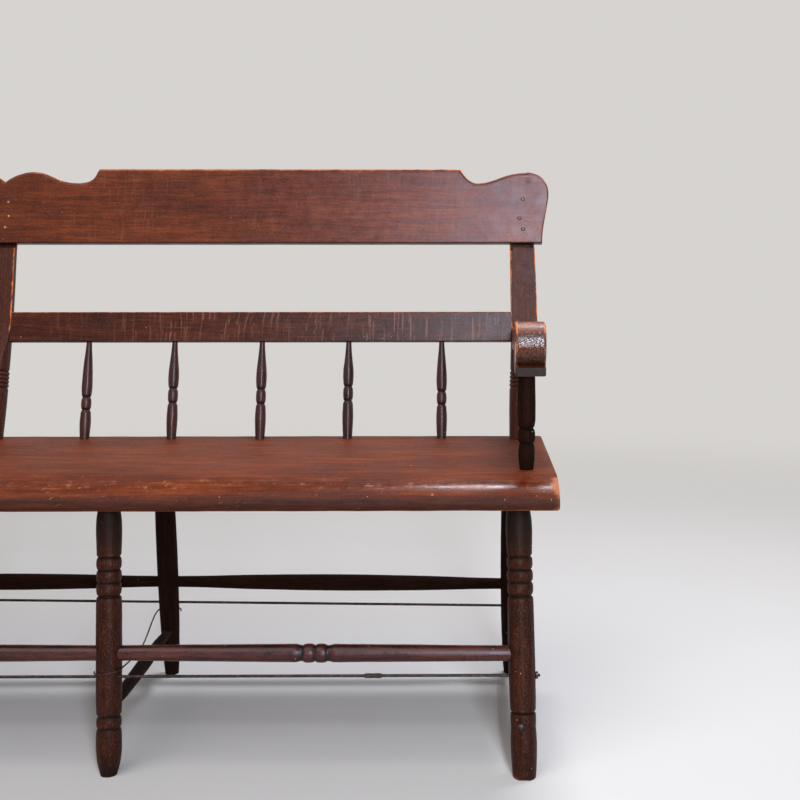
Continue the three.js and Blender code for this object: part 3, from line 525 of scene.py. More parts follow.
def wood(name, slot, shades, rough, specular, ring, ring_share=0.05, scuff=0.2, specks=0.1, wear=1,
         tint=(1, 1, 1), figure=0, crackle=0, grit=0.12):
    """Old varnished wood: streaks and fibre along the grain, dirt in the grooves and painted shade, and edges
    worn bare.

    shades are the deep, the middle and the pale of the grain, and bare wood. What it gives is a finish:
    a material and its slot.
    """
    deep, middle, pale, worn = (rgb(*shade) for shade in shades)
    g = Graph(bpy.data.materials.new(name))
    place, edge = g.attribute("grain", "Vector"), g.attribute("wear")
    dirt, polish = g.attribute("dirt"), g.attribute("gloss")
    drift = g.noise(place, 9, along=0.22, output="Color")
    swerve = g.vector("SUBTRACT", drift, (0.5, 0.5, 0.5))
    wavy = g.vector("ADD", place, g.vector("MULTIPLY", swerve, (0.024,) * 3))
    slope = g.vector("DOT_PRODUCT", wavy, (0, 0, 0.06), output=1)
    tilted = g.vector("ADD", wavy, g.vector("MULTIPLY", slope, (1, 0.6, 0)))
    pith = g.vector("LENGTH", g.vector("MULTIPLY", tilted, (1, 1, 0)), output=1)
    rings = g.math("SINE", g.times(pith, 2 * math.pi / ring))
    fibre = g.noise(wavy, 650, 4, 0.65, 0.03)
    streaks = g.noise(wavy, 150, 4, 0.6, 0.045)
    pores = g.between(g.noise(wavy, 1900, 2, along=0.05), 0.6, 0.74)
    mottle = g.noise(place, 14, 4, 0.6, 0.3)
    blotch = g.noise(place, 48, 5, 0.65)
    patchy = g.between(g.noise(place, 22, 2), 0.4, 0.62)
    curls = g.between(g.noise(g.vector("MULTIPLY", wavy, (0.05, 1, 1)), 250, 2, 0.5), 0.55, 0.68)
    lively = g.between(g.noise(place, 6, 1), 0.4, 0.6)
    grains = g.noise(place, 540, 2, 0.6, 0.6)
    hairs = g.between(g.noise(place, 900, 2, 0.5, 0.012), 0.66, 0.72)
    crossing = g.node("VectorRotate", {"Vector": place, "Axis": (1, 0, 0), "Angle": 0.5})
    scratch = g.between(g.noise(crossing, 420, 1, along=0.02), 0.7, 0.735)
    scratch = g.times(scratch, g.between(blotch, 0.45, 0.6))
    rubbed = g.add(edge, g.times(g.add(blotch, -0.5), 1.7), g.times(g.add(fibre, -0.5), 0.8))
    rubbed = g.times(g.between(rubbed, 0.5, 0.95), g.between(edge, 0, 0.15, 0, wear))
    grime_and_shade = g.math("MULTIPLY", dirt, g.between(blotch, 0.25, 0.6, 0.8, 1), clamp=True)
    stain = g.between(g.noise(place, 95, 4, 0.7), 0.62, 0.75)
    pick = g.vector("DOT_PRODUCT", g.cells(place, 300, "Color"), (1, 0, 0), output=1)
    chosen = g.math("GREATER_THAN", pick, 1 - 0.02 * specks)
    plates = g.vector("ADD", place, g.vector("MULTIPLY", drift, (0.004,) * 3))
    cracks = g.times(g.between(g.cells(plates, 210, feature="DISTANCE_TO_EDGE"), 0.09, 0.02), polish)
    uneven = g.times(g.noise(place, 330, 2), polish)
    tone = g.add(g.math("MULTIPLY_ADD", mottle, 0.6, -0.54), g.times(fibre, 0.85), g.times(streaks, 0.7),
                 g.times(blotch, 0.34), g.times(rings, patchy, ring_share))
    color = g.ramp(tone, (0.44, deep), (0.68, middle), (0.95, pale))
    layers = (
        (g.times(curls, lively, figure), rgb(146, 98, 82)),
        (g.times(pores, 0.4), deep),
        (g.between(grains, 0.52, 0.72, 0, grit), worn),
        (g.between(grains, 0.46, 0.3, 0, 2.5 * grit), deep),
        (g.times(hairs, g.between(mottle, 0.4, 0.65), 0.25 + 0.4 * scuff), pale),
        (g.times(scratch, 0.7 * scuff), rgb(190, 140, 112)),
        (rubbed, worn),
        # near black where dirt is set: dirt in grooves and painted shade
        (g.times(grime_and_shade, 0.95), rgb(12, 6, 4)),
        (g.times(stain, 0.3 * scuff), rgb(24, 10, 6)),
        (g.times(g.between(g.cells(place, 300), 0.26, 0.14), chosen, 0.8), rgb(205, 176, 152)),
        (g.times(cracks, 0.8 * crackle), rgb(20, 9, 6)),
    )
    for share, shade in layers:
        color = g.mix(share, color, shade)
    relief = g.add(g.times(fibre, 0.07), g.times(streaks, 0.14), g.times(uneven, 1.4 * crackle),
                   g.times(cracks, -3 * crackle), g.noise(place, 75, 2), g.times(pores, -0.1),
                   g.times(scratch, -0.3 * scuff), g.times(rubbed, -0.25))
    gloss = g.add(g.between(blotch, 0.3, 0.7, *rough), g.times(rubbed, 0.08), g.times(grime_and_shade, 0.1))
    g.feed(g.shader, {
        "Base Color": color,
        "Roughness": g.add(gloss, g.times(polish, 0.12 - rough[0]), clamp=True),
        "Specular IOR Level": specular,
        "Specular Tint": (*tint, 1),
        "Normal": g.node("Bump", {"Height": relief, "Strength": 0.8, "Distance": 0.22 * MM}),
    })
    return g.owner, slot


def iron(name, dark, rust, bright, metal=(0.85, 0.35)):
    """Dark iron with rust in patches and bare bright metal where it is rubbed."""
    g = Graph(bpy.data.materials.new(name))
    place = g.attribute("grain", "Vector")
    cloud = g.noise(place, 120, 5, 0.7)
    pits = g.noise(place, 900, 3, 0.6)
    rubbed = g.between(g.add(g.attribute("wear"), g.add(cloud, -0.5)), 0.45, 0.85)
    color = g.mix(g.between(cloud, 0.42, 0.62), rgb(*dark), rgb(*rust))
    g.feed(g.shader, {
        "Base Color": g.mix(rubbed, color, rgb(*bright)),
        "Metallic": g.between(cloud, 0.4, 0.64, *metal),
        "Roughness": g.between(pits, 0.3, 0.7, 0.38, 0.62),
        "Normal": g.node("Bump", {"Height": g.add(pits, cloud), "Strength": 0.5, "Distance": 0.25 * MM}),
    })
    return g.owner, "iron"


COOL = (0.86, 0.9, 1)
WARM = (1, 0.82, 0.72)
SEAT_WOOD = wood("seat_varnish", "seat_wood", ((62, 19, 3), (92, 33, 5), (128, 58, 18), (176, 108, 72)),
                 (0.54, 0.66), 0.2, 11 * MM, scuff=1, specks=0.4)
RED_WOOD = wood("red_varnish", "red_wood", ((58, 18, 2), (86, 32, 4), (118, 52, 14), (196, 108, 50)),
                (0.27, 0.34), 0.31, 7 * MM, scuff=0.3, tint=(0.95, 0.91, 0.98), figure=0.12)
ARM_WOOD = wood("arm_varnish", "red_wood", ((60, 22, 9), (98, 42, 16), (144, 76, 36), (200, 112, 56)),
                (0.42, 0.52), 0.46, 7 * MM, ring_share=0.04, scuff=0.4, specks=0.2, crackle=1)
RAIL_WOOD = wood("rail_varnish", "red_wood", ((32, 8, 2), (56, 17, 3), (88, 36, 14), (190, 110, 70)),
                 (0.28, 0.36), 0.23, 7 * MM, figure=0.45)
POST_WOOD = wood("post_varnish", "red_wood", ((46, 16, 8), (62, 25, 13), (84, 40, 24), (216, 122, 62)),
                 (0.42, 0.54), 0.2, 5 * MM, specks=0.2)
# painted shade: a darker copy of the red-brown varnish for the front legs, which stand in shade under the
# seat
PAINTED_SHADE_LEG_WOOD = wood("dark_varnish", "dark_wood", ((20, 5, 2), (40, 13, 5), (68, 28, 13), (132, 80, 54)),
                 (0.4, 0.55), 0.15, 4 * MM, ring_share=0.06, scuff=0.15, specks=0.4, wear=0.7, tint=WARM,
                 grit=0.28)
SPINDLE_WOOD = wood("spindle_varnish", "dark_wood", ((30, 10, 7), (52, 20, 14), (84, 40, 30), (150, 82, 52)),
                    (0.25, 0.36), 0.34, 4 * MM, scuff=0.1, specks=0.3, wear=0.5, tint=COOL)
# painted shade: a near-black copy of the varnish for the rear legs, the side and rear stretchers and the arm
# posts, which stand in shade
PAINTED_SHADE_WOOD = wood("shaded_varnish", "dark_wood", ((10, 3, 1), (20, 6, 3), (38, 15, 8), (82, 46, 28)),
                  (0.68, 0.84), 0.08, 4 * MM, scuff=0, wear=0.4, tint=WARM)
IRON = iron("dark_iron", (40, 36, 35), (66, 40, 30), (140, 128, 120))
NAIL_IRON = iron("nail_iron", (26, 20, 19), (48, 30, 24), (112, 96, 92), metal=(0.35, 0.1))
NAIL_RUST = iron("nail_rust", (44, 20, 10), (84, 38, 16), (214, 128, 66), metal=(0.3, 0.1))


# Seat: flat on top, rolled down to a low nose in front

def make_seat():
    nose, back_y, small = SEAT_TOP - SEAT_ROLL_DROP, SEAT_HIGH.y, 2.5 * MM
    roll_end, under_end = (FRONT_Y + SEAT_ROLL_DEPTH, SEAT_TOP), (FRONT_Y + SEAT_UNDER_ROUND, SEAT_BOTTOM)
    top = bezier((FRONT_Y, nose), (FRONT_Y + 0.06 * SEAT_ROLL_DEPTH, SEAT_TOP - 0.42 * SEAT_ROLL_DROP),
                 (FRONT_Y + 0.5 * SEAT_ROLL_DEPTH, SEAT_TOP), roll_end, 30)
    top += [(back_y - s * small, SEAT_TOP - fall * small) for s, fall in ((1, 0), (0.3, 0.3), (0, 1))]
    bottom = [under_end, (back_y - small, SEAT_BOTTOM), (back_y, SEAT_BOTTOM + small)]
    front = bezier(under_end, (FRONT_Y + 0.5 * SEAT_UNDER_ROUND, SEAT_BOTTOM),
                   (FRONT_Y, SEAT_BOTTOM + 0.4 * SEAT_UNDER_ROUND), (FRONT_Y, nose), 20)
    front.append((FRONT_Y, nose))
    top_points = resample(top, 6 * MM)
    bottom_points = spread(bottom, np.linspace(0, 1, len(top_points)))
    left = spread(front, np.linspace(0, 1, 24))
    heights = norm(left - left[0], axis=1) / norm(left[-1] - left[0])
    right = lerp(np.array(bottom[-1]), np.array(top[-1]), heights[:, None])

    def place(y, z, depth):
        return np.stack([SEAT_LOW.x + depth, y, z], -1)

    def marks(points):
        x, y, z = points.T
        from_end, from_front = SEAT_HIGH.x - np.abs(x), y - FRONT_Y
        low_edge = fade(np.abs(z - SEAT_BOTTOM), 2.5 * MM) * (from_front < 60 * MM)
        back_edge = fade(back_y - y, 3 * MM) * (z > SEAT_TOP - 6 * MM)
        nose_rub = hill(from_front, 28 * MM, 30 * MM)
        # painted shade: the top darker beside the arm, where the arm shades it
        painted_shade_by_arm = hill(from_end, 70 * MM, 70 * MM) * climb(from_front, 80 * MM, 60 * MM)
        under = climb(SEAT_BOTTOM + 2 * MM, z, 2 * MM)
        # painted shade: the lower face of the nose darker, as it is turned away from the light above
        painted_shade_low_face = climb(SEAT_TOP - 19 * MM, z, 9 * MM) * (from_front < 14 * MM) * (1 - low_edge)
        corner = fade(from_end, 2.4 * MM) * hill(from_front, 0, 30 * MM)
        chipped = low_edge * (1 + hill(from_end, 0, 90 * MM))
        return {
            "wear": (0.3 * fade(from_end, 1.5 * MM) + 0.7 * corner + 0.6 * chipped + 0.5 * back_edge
                     + 0.42 * nose_rub),
            "gloss": hill(from_front, 24 * MM, 13 * MM) * (z > SEAT_BOTTOM + 4 * MM),
            # the underside darker, and painted shade on the nose's low face and beside the arm
            "dirt": 0.5 * under + 0.76 * painted_shade_low_face + 0.34 * painted_shade_by_arm,
        }

    board("seat", "seat_plank", bottom_points, top_points, left, right, SEAT_HIGH.x - SEAT_LOW.x,
          (3 * MM, 3 * MM), place, marks, SEAT_WOOD, bands=180, band_wear=0, edge_wear=0.4, long_depth=True,
          flip=True, rough=0.4 * MM)


# Legs and stretchers

def front_leg_axis(x):
    rake = END_LEG_RAKE if abs(x) == END_LEG_X else INNER_LEG_RAKE
    low = np.array((x + math.copysign(FRONT_LEG_SPLAY, x), FRONT_Y + FRONT_LEG_INSET - rake, 0))
    return low, np.array((x, FRONT_Y + FRONT_LEG_INSET, SEAT_BOTTOM))


def rear_leg_axis(x):
    top = np.array((x + math.copysign(REAR_LEG_SPREAD, x), SEAT_HIGH.y - REAR_LEG_INSET, SEAT_BOTTOM))
    return top + (math.copysign(REAR_LEG_SPLAY, x), REAR_LEG_RAKE, -SEAT_BOTTOM), top


def at_height(axis, z):
    return lerp(axis[0], axis[1], z / SEAT_BOTTOM)


def front_leg_rows(girth, ring_low, ring_high, foot, low_cut):
    """Rows of one front leg: they differ a little in girth, in the foot's ring and at the foot."""
    rows = [
        *smooth_rows((-0.02, foot), (0.006, foot + 0.07), (0.035, lerp(foot, 1, 0.58)), (0.125, 0.985),
                     (ring_low - 0.014, 0.95)),
        (ring_low - 0.005, lerp(low_cut, 0.95, 0.4)), (ring_low - 0.001, low_cut),
        *bead_rows(ring_low + 0.001, ring_high - 0.003, low_cut + 0.01, 0.96),
        (ring_high, 0.84), (ring_high + 0.003, 0.86),
        *smooth_rows((ring_high + 0.01, 0.955), (ring_high + 0.04, 0.985), (0.34, 1), (0.48, 1),
                     (0.63, 0.99)),
        (0.65, 0.97), (0.6585, 0.93), (0.662, 0.83),
        *(row for ends in ((0.666, 0.7145), (0.7155, 0.7615), (0.7625, 0.8095))
          for row in bead_rows(*ends, 0.81, 0.975)),
        (0.8115, 0.83), (0.8145, 0.9),
        *smooth_rows((0.82, 0.945), (0.86, 0.975), (0.915, 1), (0.955, 0.96), (0.985, 0.88), (1.04, 0.8)),
    ]
    return [(along, girth * share) for along, share in rows]


# Girth, the two ends of the foot's ring, the foot's end and the ring's lower cut, for each front leg
FRONT_LEGS = ((1.01, 0.182, 0.23, 0.72, 0.86), (0.985, 0.176, 0.219, 0.64, 0.85),
              (0.98, 0.174, 0.217, 0.6, 0.84), (1.02, 0.1855, 0.235, 0.8, 0.92))
REAR_LEG_ROWS = smooth_rows((-0.02, 0.62), (0.05, 0.74), (0.2, 0.89), (0.48, 1), (0.78, 0.97), (1.04, 0.86))
STRETCHER_HALF = [
    *smooth_rows((0, 0.8), (0.05, 0.81), (0.2, 0.87), (0.38, 0.93), (0.455, 0.96)),
    (0.463, 0.86), (0.468, 0.83),
    *bead_rows(0.471, 0.4995, 0.82, 1),
]
FRONT_STRETCHER_ROWS = STRETCHER_HALF + [(1 - along, girth) for along, girth in STRETCHER_HALF[::-1]]
PLAIN_STRETCHER_ROWS = smooth_rows((0, 0.66), (0.05, 0.67), (0.24, 0.87), (0.5, 1), (0.76, 0.87),
                                   (0.95, 0.67), (1, 0.66))


def make_underframe():
    def stand(points, values):
        z = points[:, 2] = np.clip(points[:, 2], 0, SEAT_BOTTOM + 0.5 * MM)
        values["wear"] += 0.7 * fade(z, 7 * MM)
        # painted shade: each leg turns near black towards the seat, where the seat shades it
        values["dirt"] += 0.95 * climb(z, SEAT_BOTTOM - 82 * MM, 50 * MM)
        return points

    for i, x in enumerate(LEG_X):
        number = i + 1
        front, rear = front_leg_axis(x), rear_leg_axis(x)
        turned(*names("front_leg", number), *front, front_leg_rows(*FRONT_LEGS[i]), LEG_RADIUS, PAINTED_SHADE_LEG_WOOD, 72,
               stand, 0.3 * MM)
        turned(*names("rear_leg", number), *rear, REAR_LEG_ROWS, REAR_LEG_RADIUS, PAINTED_SHADE_WOOD, 56, stand)
        low, high = SIDE_STRETCHER_HEIGHTS
        if number == len(LEG_X):
            low = BOLT_HEIGHT
        turned(*names("side_stretcher", number), at_height(front, low), at_height(rear, high),
               PLAIN_STRETCHER_ROWS, SIDE_STRETCHER_RADIUS, PAINTED_SHADE_WOOD, 40)
        if number == len(LEG_X):
            continue
        pair = LEG_X[i:i + 2]
        ends = [at_height(front_leg_axis(leg), FRONT_STRETCHER_HEIGHT) for leg in pair]
        turned(*names("front_stretcher", number), *ends, FRONT_STRETCHER_ROWS, FRONT_STRETCHER_RADIUS,
               SPINDLE_WOOD)
        falls = [REAR_STRETCHER_FALL if abs(leg) == END_LEG_X else 0 for leg in pair]
        ends = [at_height(rear_leg_axis(leg), REAR_STRETCHER_HEIGHT - fall) for leg, fall in zip(pair, falls)]
        turned(*names("rear_stretcher", number), *ends, PLAIN_STRETCHER_ROWS, REAR_STRETCHER_RADIUS,
               PAINTED_SHADE_WOOD, 48)


# Back posts: turned below, flattened in front above the rings, with a rebate behind the crest

POST_ROWS = [
    *smooth_rows((-0.005, 0.83), (0.03, 0.86), (0.12, 0.94), (0.19, 0.98)),
    (0.196, 0.94),
    *(row for ends in ((0.2, 0.2152), (0.2158, 0.2307), (0.2313, 0.2462), (0.2468, 0.262))
      for row in bead_rows(*ends, 0.9, 1, 8)),
    (0.265, 0.94),
    *smooth_rows((0.272, 0.985), (0.42, 1.04), (0.52, 1.04), (0.757, 0.98)),
    *smooth_rows((0.7583, 0.98), (0.88, 0.975), (1, 0.97)),
]


def bow_at(h):
    """How far an end post bows outwards."""
    return np.interp(h, [0, 195 * MM, 350 * MM, POST_TOP], [-0.5 * MM, 5.5 * MM, 0, -1.5 * MM])


def make_posts():
    for i, x in enumerate(POST_X):
        side = np.sign(x)

        def shape(points, values):
            points[:, 2] = np.maximum(points[:, 2], SEAT_TOP - CONTACT)
            y, h = off_back(points)
            aside = points[:, 0] - x - side * END_POST_LEAN * h / POST_TOP
            girth = np.hypot(aside, y)
            flat_y = np.interp(h, [POST_FLAT_START, POST_FLAT_FULL], [-POST_RADIUS * 1.02, POST_FLAT_Y])
            flat_y = np.where(h > CREST_SHOULDER, CREST_FRONT_Y + CREST_THICKNESS + CONTACT, flat_y)
            flat_share = climb(h, POST_FLAT_START, POST_FLAT_FULL - POST_FLAT_START)
            soft = 0.7 * MM
            bent = flat_y + soft * np.logaddexp(0, np.clip((y - flat_y) / soft, -40, 40))
            bent = np.where(h < POST_FLAT_START, y, bent)
            room = np.sqrt(np.maximum(girth**2 - np.minimum(bent, 0) ** 2, 1e-9))
            widened = aside * lerp(1, np.minimum(girth / room, 1.15), flat_share)
            corner = np.hypot(girth - np.abs(widened), bent - flat_y)
            arris = fade(corner, 2.6 * MM) * climb(h, 130 * MM, 60 * MM)
            values["wear"] = 0.6 * values["wear"] + 1.1 * arris
            return on_back(x + side * END_POST_LEAN * h / POST_TOP + widened + side * bow_at(h), bent, h)

        ends = on_back(x, 0, 0), on_back(x + side * END_POST_LEAN, 0, POST_TOP)
        turned(f"post_turned_{i + 1}", f"back_post_{i + 1}", *ends, POST_ROWS, POST_RADIUS, POST_WOOD, 144,
               shape)


def make_spindles():
    def seat_end(points, values):
        points[:, 2] = np.maximum(points[:, 2], SEAT_TOP - CONTACT)
        return points

    for side in (-1, 1):
        for k, (share, (low, high)) in enumerate(zip(SPINDLE_SHARES, SPINDLE_BEADS)):
            number = 6 + k if side > 0 else 5 - k
            rows = [
                *smooth_rows((-0.01, 0.82), (0.25 * low, 0.93), (0.6 * low, 1), (low - 0.03, 0.9)),
                (low - 0.01, 0.76), (low - 0.004, 0.68),
                *bead_rows(low, high, 0.69, 0.92),
                (high + 0.004, 0.68), (high + 0.01, 0.74),
                *smooth_rows((high + 0.03, 0.88), (high + 0.1, 0.965), (high + 0.18, 0.94), (0.8, 0.76),
                             (0.92, 0.57), (1.01, 0.47)),
            ]
            ends = [on_back(side * share * END_POST_X, 0, h) for h in (0, MID_RAIL_BOTTOM)]
            turned(*names("spindle", number), *ends, rows, SPINDLE_RADIUS, SPINDLE_WOOD, 48, seat_end,
                   0.15 * MM)


# Rails of the back

def behind(front_y):
    """Where a board of the back has its points, from the y of its front face."""
    return lambda x, h, depth: on_back(x, front_y + depth, h)


def make_mid_rails():
    def marks(points):
        h = off_back(points)[1] - MID_RAIL_BOTTOM
        # painted shadow: a dark line along the bottom edge of the rail
        low_edge = 0.9 * fade(np.maximum(h, 0), 1.2 * MM)
        return {"wear": 0.6 * fade(MID_RAIL_HEIGHT - h, 1.4 * MM) - low_edge, "dirt": low_edge}

    heights = MID_RAIL_BOTTOM + dense_ends(MID_RAIL_HEIGHT, 6 * MM)
    for number, ends in enumerate(zip(POST_X, POST_X[1:]), 1):
        bottom = resample([(x, MID_RAIL_BOTTOM) for x in ends], 9 * MM)
        top = bottom + np.array((0, MID_RAIL_HEIGHT))
        left, right = (np.stack([np.full(len(heights), x), heights], -1) for x in ends)
        board(f"mid_rail_board_{number}", f"mid_rail_{number}", bottom, top, left, right, MID_RAIL_THICKNESS,
              (1.6 * MM, 1.6 * MM), behind(-MID_RAIL_THICKNESS / 2), marks, RAIL_WOOD, band_wear=0.2,
              edge_wear=0.7, open_ends=True)


CREST_INNER = (
    ((0.012, 0.9), (0.036, 0.96), (0.053, 0.96)),
    ((0.085, 0.96), (0.1, 0.808), (0.137, 0.808)),
    ((0.165, 0.808), (0.172, 0.86), (0.176, 0.95)),
)
CREST_OUTER = (
    ((0.888, 0.87), (0.9, 0.808), (0.913, 0.808)),
    ((0.945, 0.808), (0.965, 0.955), (1.008, 0.955)),
)


def make_crest():
    def at(share, rise):
        return np.array((share * CREST_TOP_X, CREST_BOTTOM + rise * CREST_HEIGHT))

    here = at(0, 0.82)
    half = []
    for row in CREST_INNER:
        half += bezier(here, *(at(*p) for p in row), 12)
        here = at(*row[-1])
    half += [here, at(0.181, 1)]
    here = at(0.8785, 1)
    for row in CREST_OUTER:
        half += bezier(here, *(at(*p) for p in row), 14)
        here = at(*row[-1])
    half.append(here)
    corner, shoulder, below, waist = (CREST_BOTTOM + s * CREST_HEIGHT for s in (0.8, 0.68, 0.5, 0.25))
    end = bezier(here, (CREST_DRAWN_END, here[1]), (CREST_END, corner), (CREST_END, shoulder), 16)
    end += bezier((CREST_END, shoulder), (CREST_END, below), (CREST_DRAWN_END, waist),
                  (CREST_DRAWN_END, CREST_BOTTOM), 14)
    end.append(np.array((CREST_DRAWN_END, CREST_BOTTOM)))
    half = np.array(half)
    top = resample(np.concatenate([half[:0:-1] * (-1, 1), half]), 3.5 * MM)
    bottom = np.stack([top[:, 0] * CREST_DRAWN_END / here[0], np.full(len(top), CREST_BOTTOM)], -1)
    right = spread(end[::-1], dense_ends(CREST_HEIGHT, 6 * MM) / CREST_HEIGHT)
    left = right * (-1, 1)

    def marks(points):
        x = points[:, 0]
        y, h = off_back(points)
        in_front = y < CREST_FRONT_Y + 4 * MM
        worn = spots(x, h, (0.947, 0.372, 0.03, 0.006, 0.8), (0.001, 0.372, 0.014, 0.012, 0.4))
        knots = spots(x, h, (0.966, 0.47, 0.005, 0.004, 1), (0.982, 0.447, 0.004, 0.003, 0.9),
                      (0.983, 0.468, 0.004, 0.003, 0.6))
        # the top arris lighter: partly bare worn edge, partly painted highlight of the light from above
        top_edge = 0.8 * fade(CREST_BOTTOM + CREST_HEIGHT - h, 3.2 * MM)
        # painted shadow: a dark line along the bottom edge, where the crest shades the gap below it
        low_edge = 0.9 * fade(np.maximum(h - CREST_BOTTOM, 0), 1.4 * MM)
        return {"wear": (worn + top_edge) * in_front - low_edge, "dirt": knots * in_front + low_edge}

    board("crest_board", "crest_rail", bottom, top, left, right, CREST_THICKNESS, (4.5 * MM, 2.2 * MM),
          behind(CREST_FRONT_Y), marks, RED_WOOD, band_wear=0.5, side_blend=40)


# Nails of a post, from the lowest: height in the crest, and place outwards of the post's middle
MIDDLE_NAILS = ((0.207, 0.25), (0.36, 0.48), (0.547, 0.39))
END_NAILS = ((0.187, 0.03), (0.331, -0.26), (0.588, -0.03))


def make_nails():
    head = [(0, 1.42), (0.1, 1.4), (0.16, 1.22), (0.2, 1), (0.45, 1), (0.7, 0.9), (0.88, 0.66),
            (0.97, 0.35), (1, 0.08)]
    for i, x in enumerate(POST_X):
        outward = -1 if x < 0 else 1
        for k, (rise, aside) in enumerate(MIDDLE_NAILS if x == 0 else END_NAILS):
            h = CREST_BOTTOM + rise * CREST_HEIGHT
            centre = x + np.sign(x) * END_POST_LEAN * h / POST_TOP + outward * aside * POST_RADIUS
            number = 3 * i + k + 1

            def rub(points, values):
                y, up = off_back(points)
                away = np.hypot(points[:, 0] - centre, up - h)
                values["wear"] = 1.15 - away / (0.95 * NAIL_HEAD_RADIUS)
                return points

            ends = [on_back(centre, y, h) for y in (CREST_FRONT_Y + CONTACT, CREST_FRONT_Y - NAIL_HEAD_RISE)]
            turned(f"nail_head_{number}", f"crest_nail_{number}", *ends, head, NAIL_HEAD_RADIUS,
                   NAIL_RUST if x == 0 else NAIL_IRON, 32, rub, 0.12 * MM)


# Arms: a plank seen from the side, rolled over into a knuckle in front

def make_arm(word, side):
    rear_low, crown = ARM_REAR_TOP - ARM_REAR_DEPTH, KNUCKLE_Z + KNUCKLE_RADIUS
    rear_h = (lerp(ARM_REAR_TOP, rear_low, 0.5) - SEAT_TOP) / LEAN_COS
    rear_y = on_back(0, 0, rear_h)[1] - 0.6 * POST_RADIUS
    handle_y = lerp(rear_y, KNUCKLE_Y, 0.3)
    top = bezier((rear_y, ARM_REAR_TOP), (handle_y, ARM_REAR_TOP - 0.1 * ARM_REAR_DEPTH),
                 (KNUCKLE_Y + 1.6 * KNUCKLE_RADIUS, crown), (KNUCKLE_Y, crown), 40)
    knuckle = KNUCKLE_RADIUS * around(np.radians(np.linspace(90, 244.8, 60))) + (KNUCKLE_Y, KNUCKLE_Z)
    top += [*knuckle, (BLOCK_FRONT, KNUCKLE_BOTTOM + 14 * MM)]
    places = [BLOCK_FRONT + s * BLOCK_LENGTH for s in (1.3, 1.2, 2, 3)]
    rises = [WAIST_Z + s * KNUCKLE_RADIUS for s in (1, 0.85, 0.75)]
    block_rear, waist = (BLOCK_FRONT + BLOCK_LENGTH, KNUCKLE_BOTTOM), (places[2], rises[1])
    under = bezier(block_rear, (places[0], KNUCKLE_BOTTOM), (places[1], rises[0]), waist, 24)
    under += bezier(waist, (places[3], rises[2]), (handle_y, rear_low), (rear_y, rear_low), 24)
    under = [(rear_y, rear_low), *under[::-1], (BLOCK_FRONT + 4 * MM, KNUCKLE_BOTTOM)]
    top = resample(top, 3 * MM)
    bottom = spread(under, np.linspace(0, 1, len(top)))
    steps = dense_ends(ARM_REAR_DEPTH, 5 * MM)[:, None] / ARM_REAR_DEPTH
    left, right = (lerp(bottom[k], top[k], steps) for k in (0, -1))
    draw_start = KNUCKLE_Y + KNUCKLE_RADIUS
    draw_length = 0.62 * (BACK_Y - draw_start)

    def place(y, z, depth):
        share = climb(y, draw_start, draw_length)
        width = lerp(ARM_WIDTH, ARM_REAR_WIDTH, share * share * (3 - 2 * share))
        return np.stack([side * (ARM_X + ARM_WIDTH / 2 - depth * width / ARM_WIDTH), y, z], -1)

    def marks(points):
        x, y, z = np.abs(points[:, 0]) - ARM_X, points[:, 1], points[:, 2]
        rise = (z - KNUCKLE_Z) / KNUCKLE_RADIUS
        front = climb(KNUCKLE_Y + 12 * MM, y, 10 * MM)
        sides = fade(ARM_WIDTH / 2 - np.abs(x), 1.1 * MM) * np.where(x < 0, 1, 0.3)
        # painted shade: the block under the knuckle and the underside of the roll are darkened; the band
        # above the highlight is dark marks in the varnish
        block = climb(KNUCKLE_BOTTOM + 15 * MM, z, 2 * MM)
        below = np.clip(-2.4 * rise - 0.3, 0, 1)
        return {
            "wear": 0.45 * sides * front + 0.5 * hill(rise, 1, 0.4),
            "gloss": front * np.clip(1.8 - 1.8 * np.abs(rise + 0.14), 0, 1),
            "dirt": front * np.clip(0.75 * hill(rise, 0.44, 0.1) + block + 0.75 * below, 0, 1),
        }

    board(f"arm_board_{word}", f"arm_{word}", bottom, top, left, right, ARM_WIDTH, (2.4 * MM, 2.2 * MM),
          place, marks, ARM_WOOD, bands=24, band_wear=0, edge_wear=0.75, flip=side > 0)


ARM_POST_ROWS = [
    *smooth_rows((-0.01, 0.76), (0.05, 0.82), (0.14, 0.91), (0.24, 0.86), (0.262, 0.81)),
    (0.27, 0.76), (0.278, 0.75),
    *bead_rows(0.283, 0.428, 0.76, 0.96, 18),
    (0.433, 0.75), (0.442, 0.77),
    *smooth_rows((0.455, 0.88), (0.5, 0.97), (0.6, 1), (0.85, 0.98), (1.01, 0.95)),
]


def make_arms():
    for word, side in (("left", -1), ("right", 1)):
        make_arm(word, side)
        ends = [(side * ARM_POST_X, KNUCKLE_Y + 1 * MM, z) for z in (SEAT_TOP, KNUCKLE_BOTTOM)]
        turned(*names("arm_post", word), *ends, ARM_POST_ROWS, ARM_POST_RADIUS, PAINTED_SHADE_WOOD, 64)


# Iron rods, nuts, wires and bolt

def make_nut(number, outer, inner):
    half = 4.5 * MM
    sides = np.array(square_to(unit(inner - outer)))

    def square(points, values):
        across = (points - outer) @ sides.T
        share = np.minimum(1, half / np.maximum(np.abs(across).max(1), 1e-9))[:, None]
        values["wear"] = (norm(across * share, axis=1) - 0.95 * half) / (0.4 * half)
        return points - (1 - share) * across @ sides

    rows = [(0, 1.08), (0.12, 1.2), (0.25, 1.38), (0.75, 1.38), (0.88, 1.25), (1, 1.15)]
    turned(f"nut_{number}", f"rod_nut_{number}", outer, inner, rows, half, IRON, 64, square, 0.05 * MM)


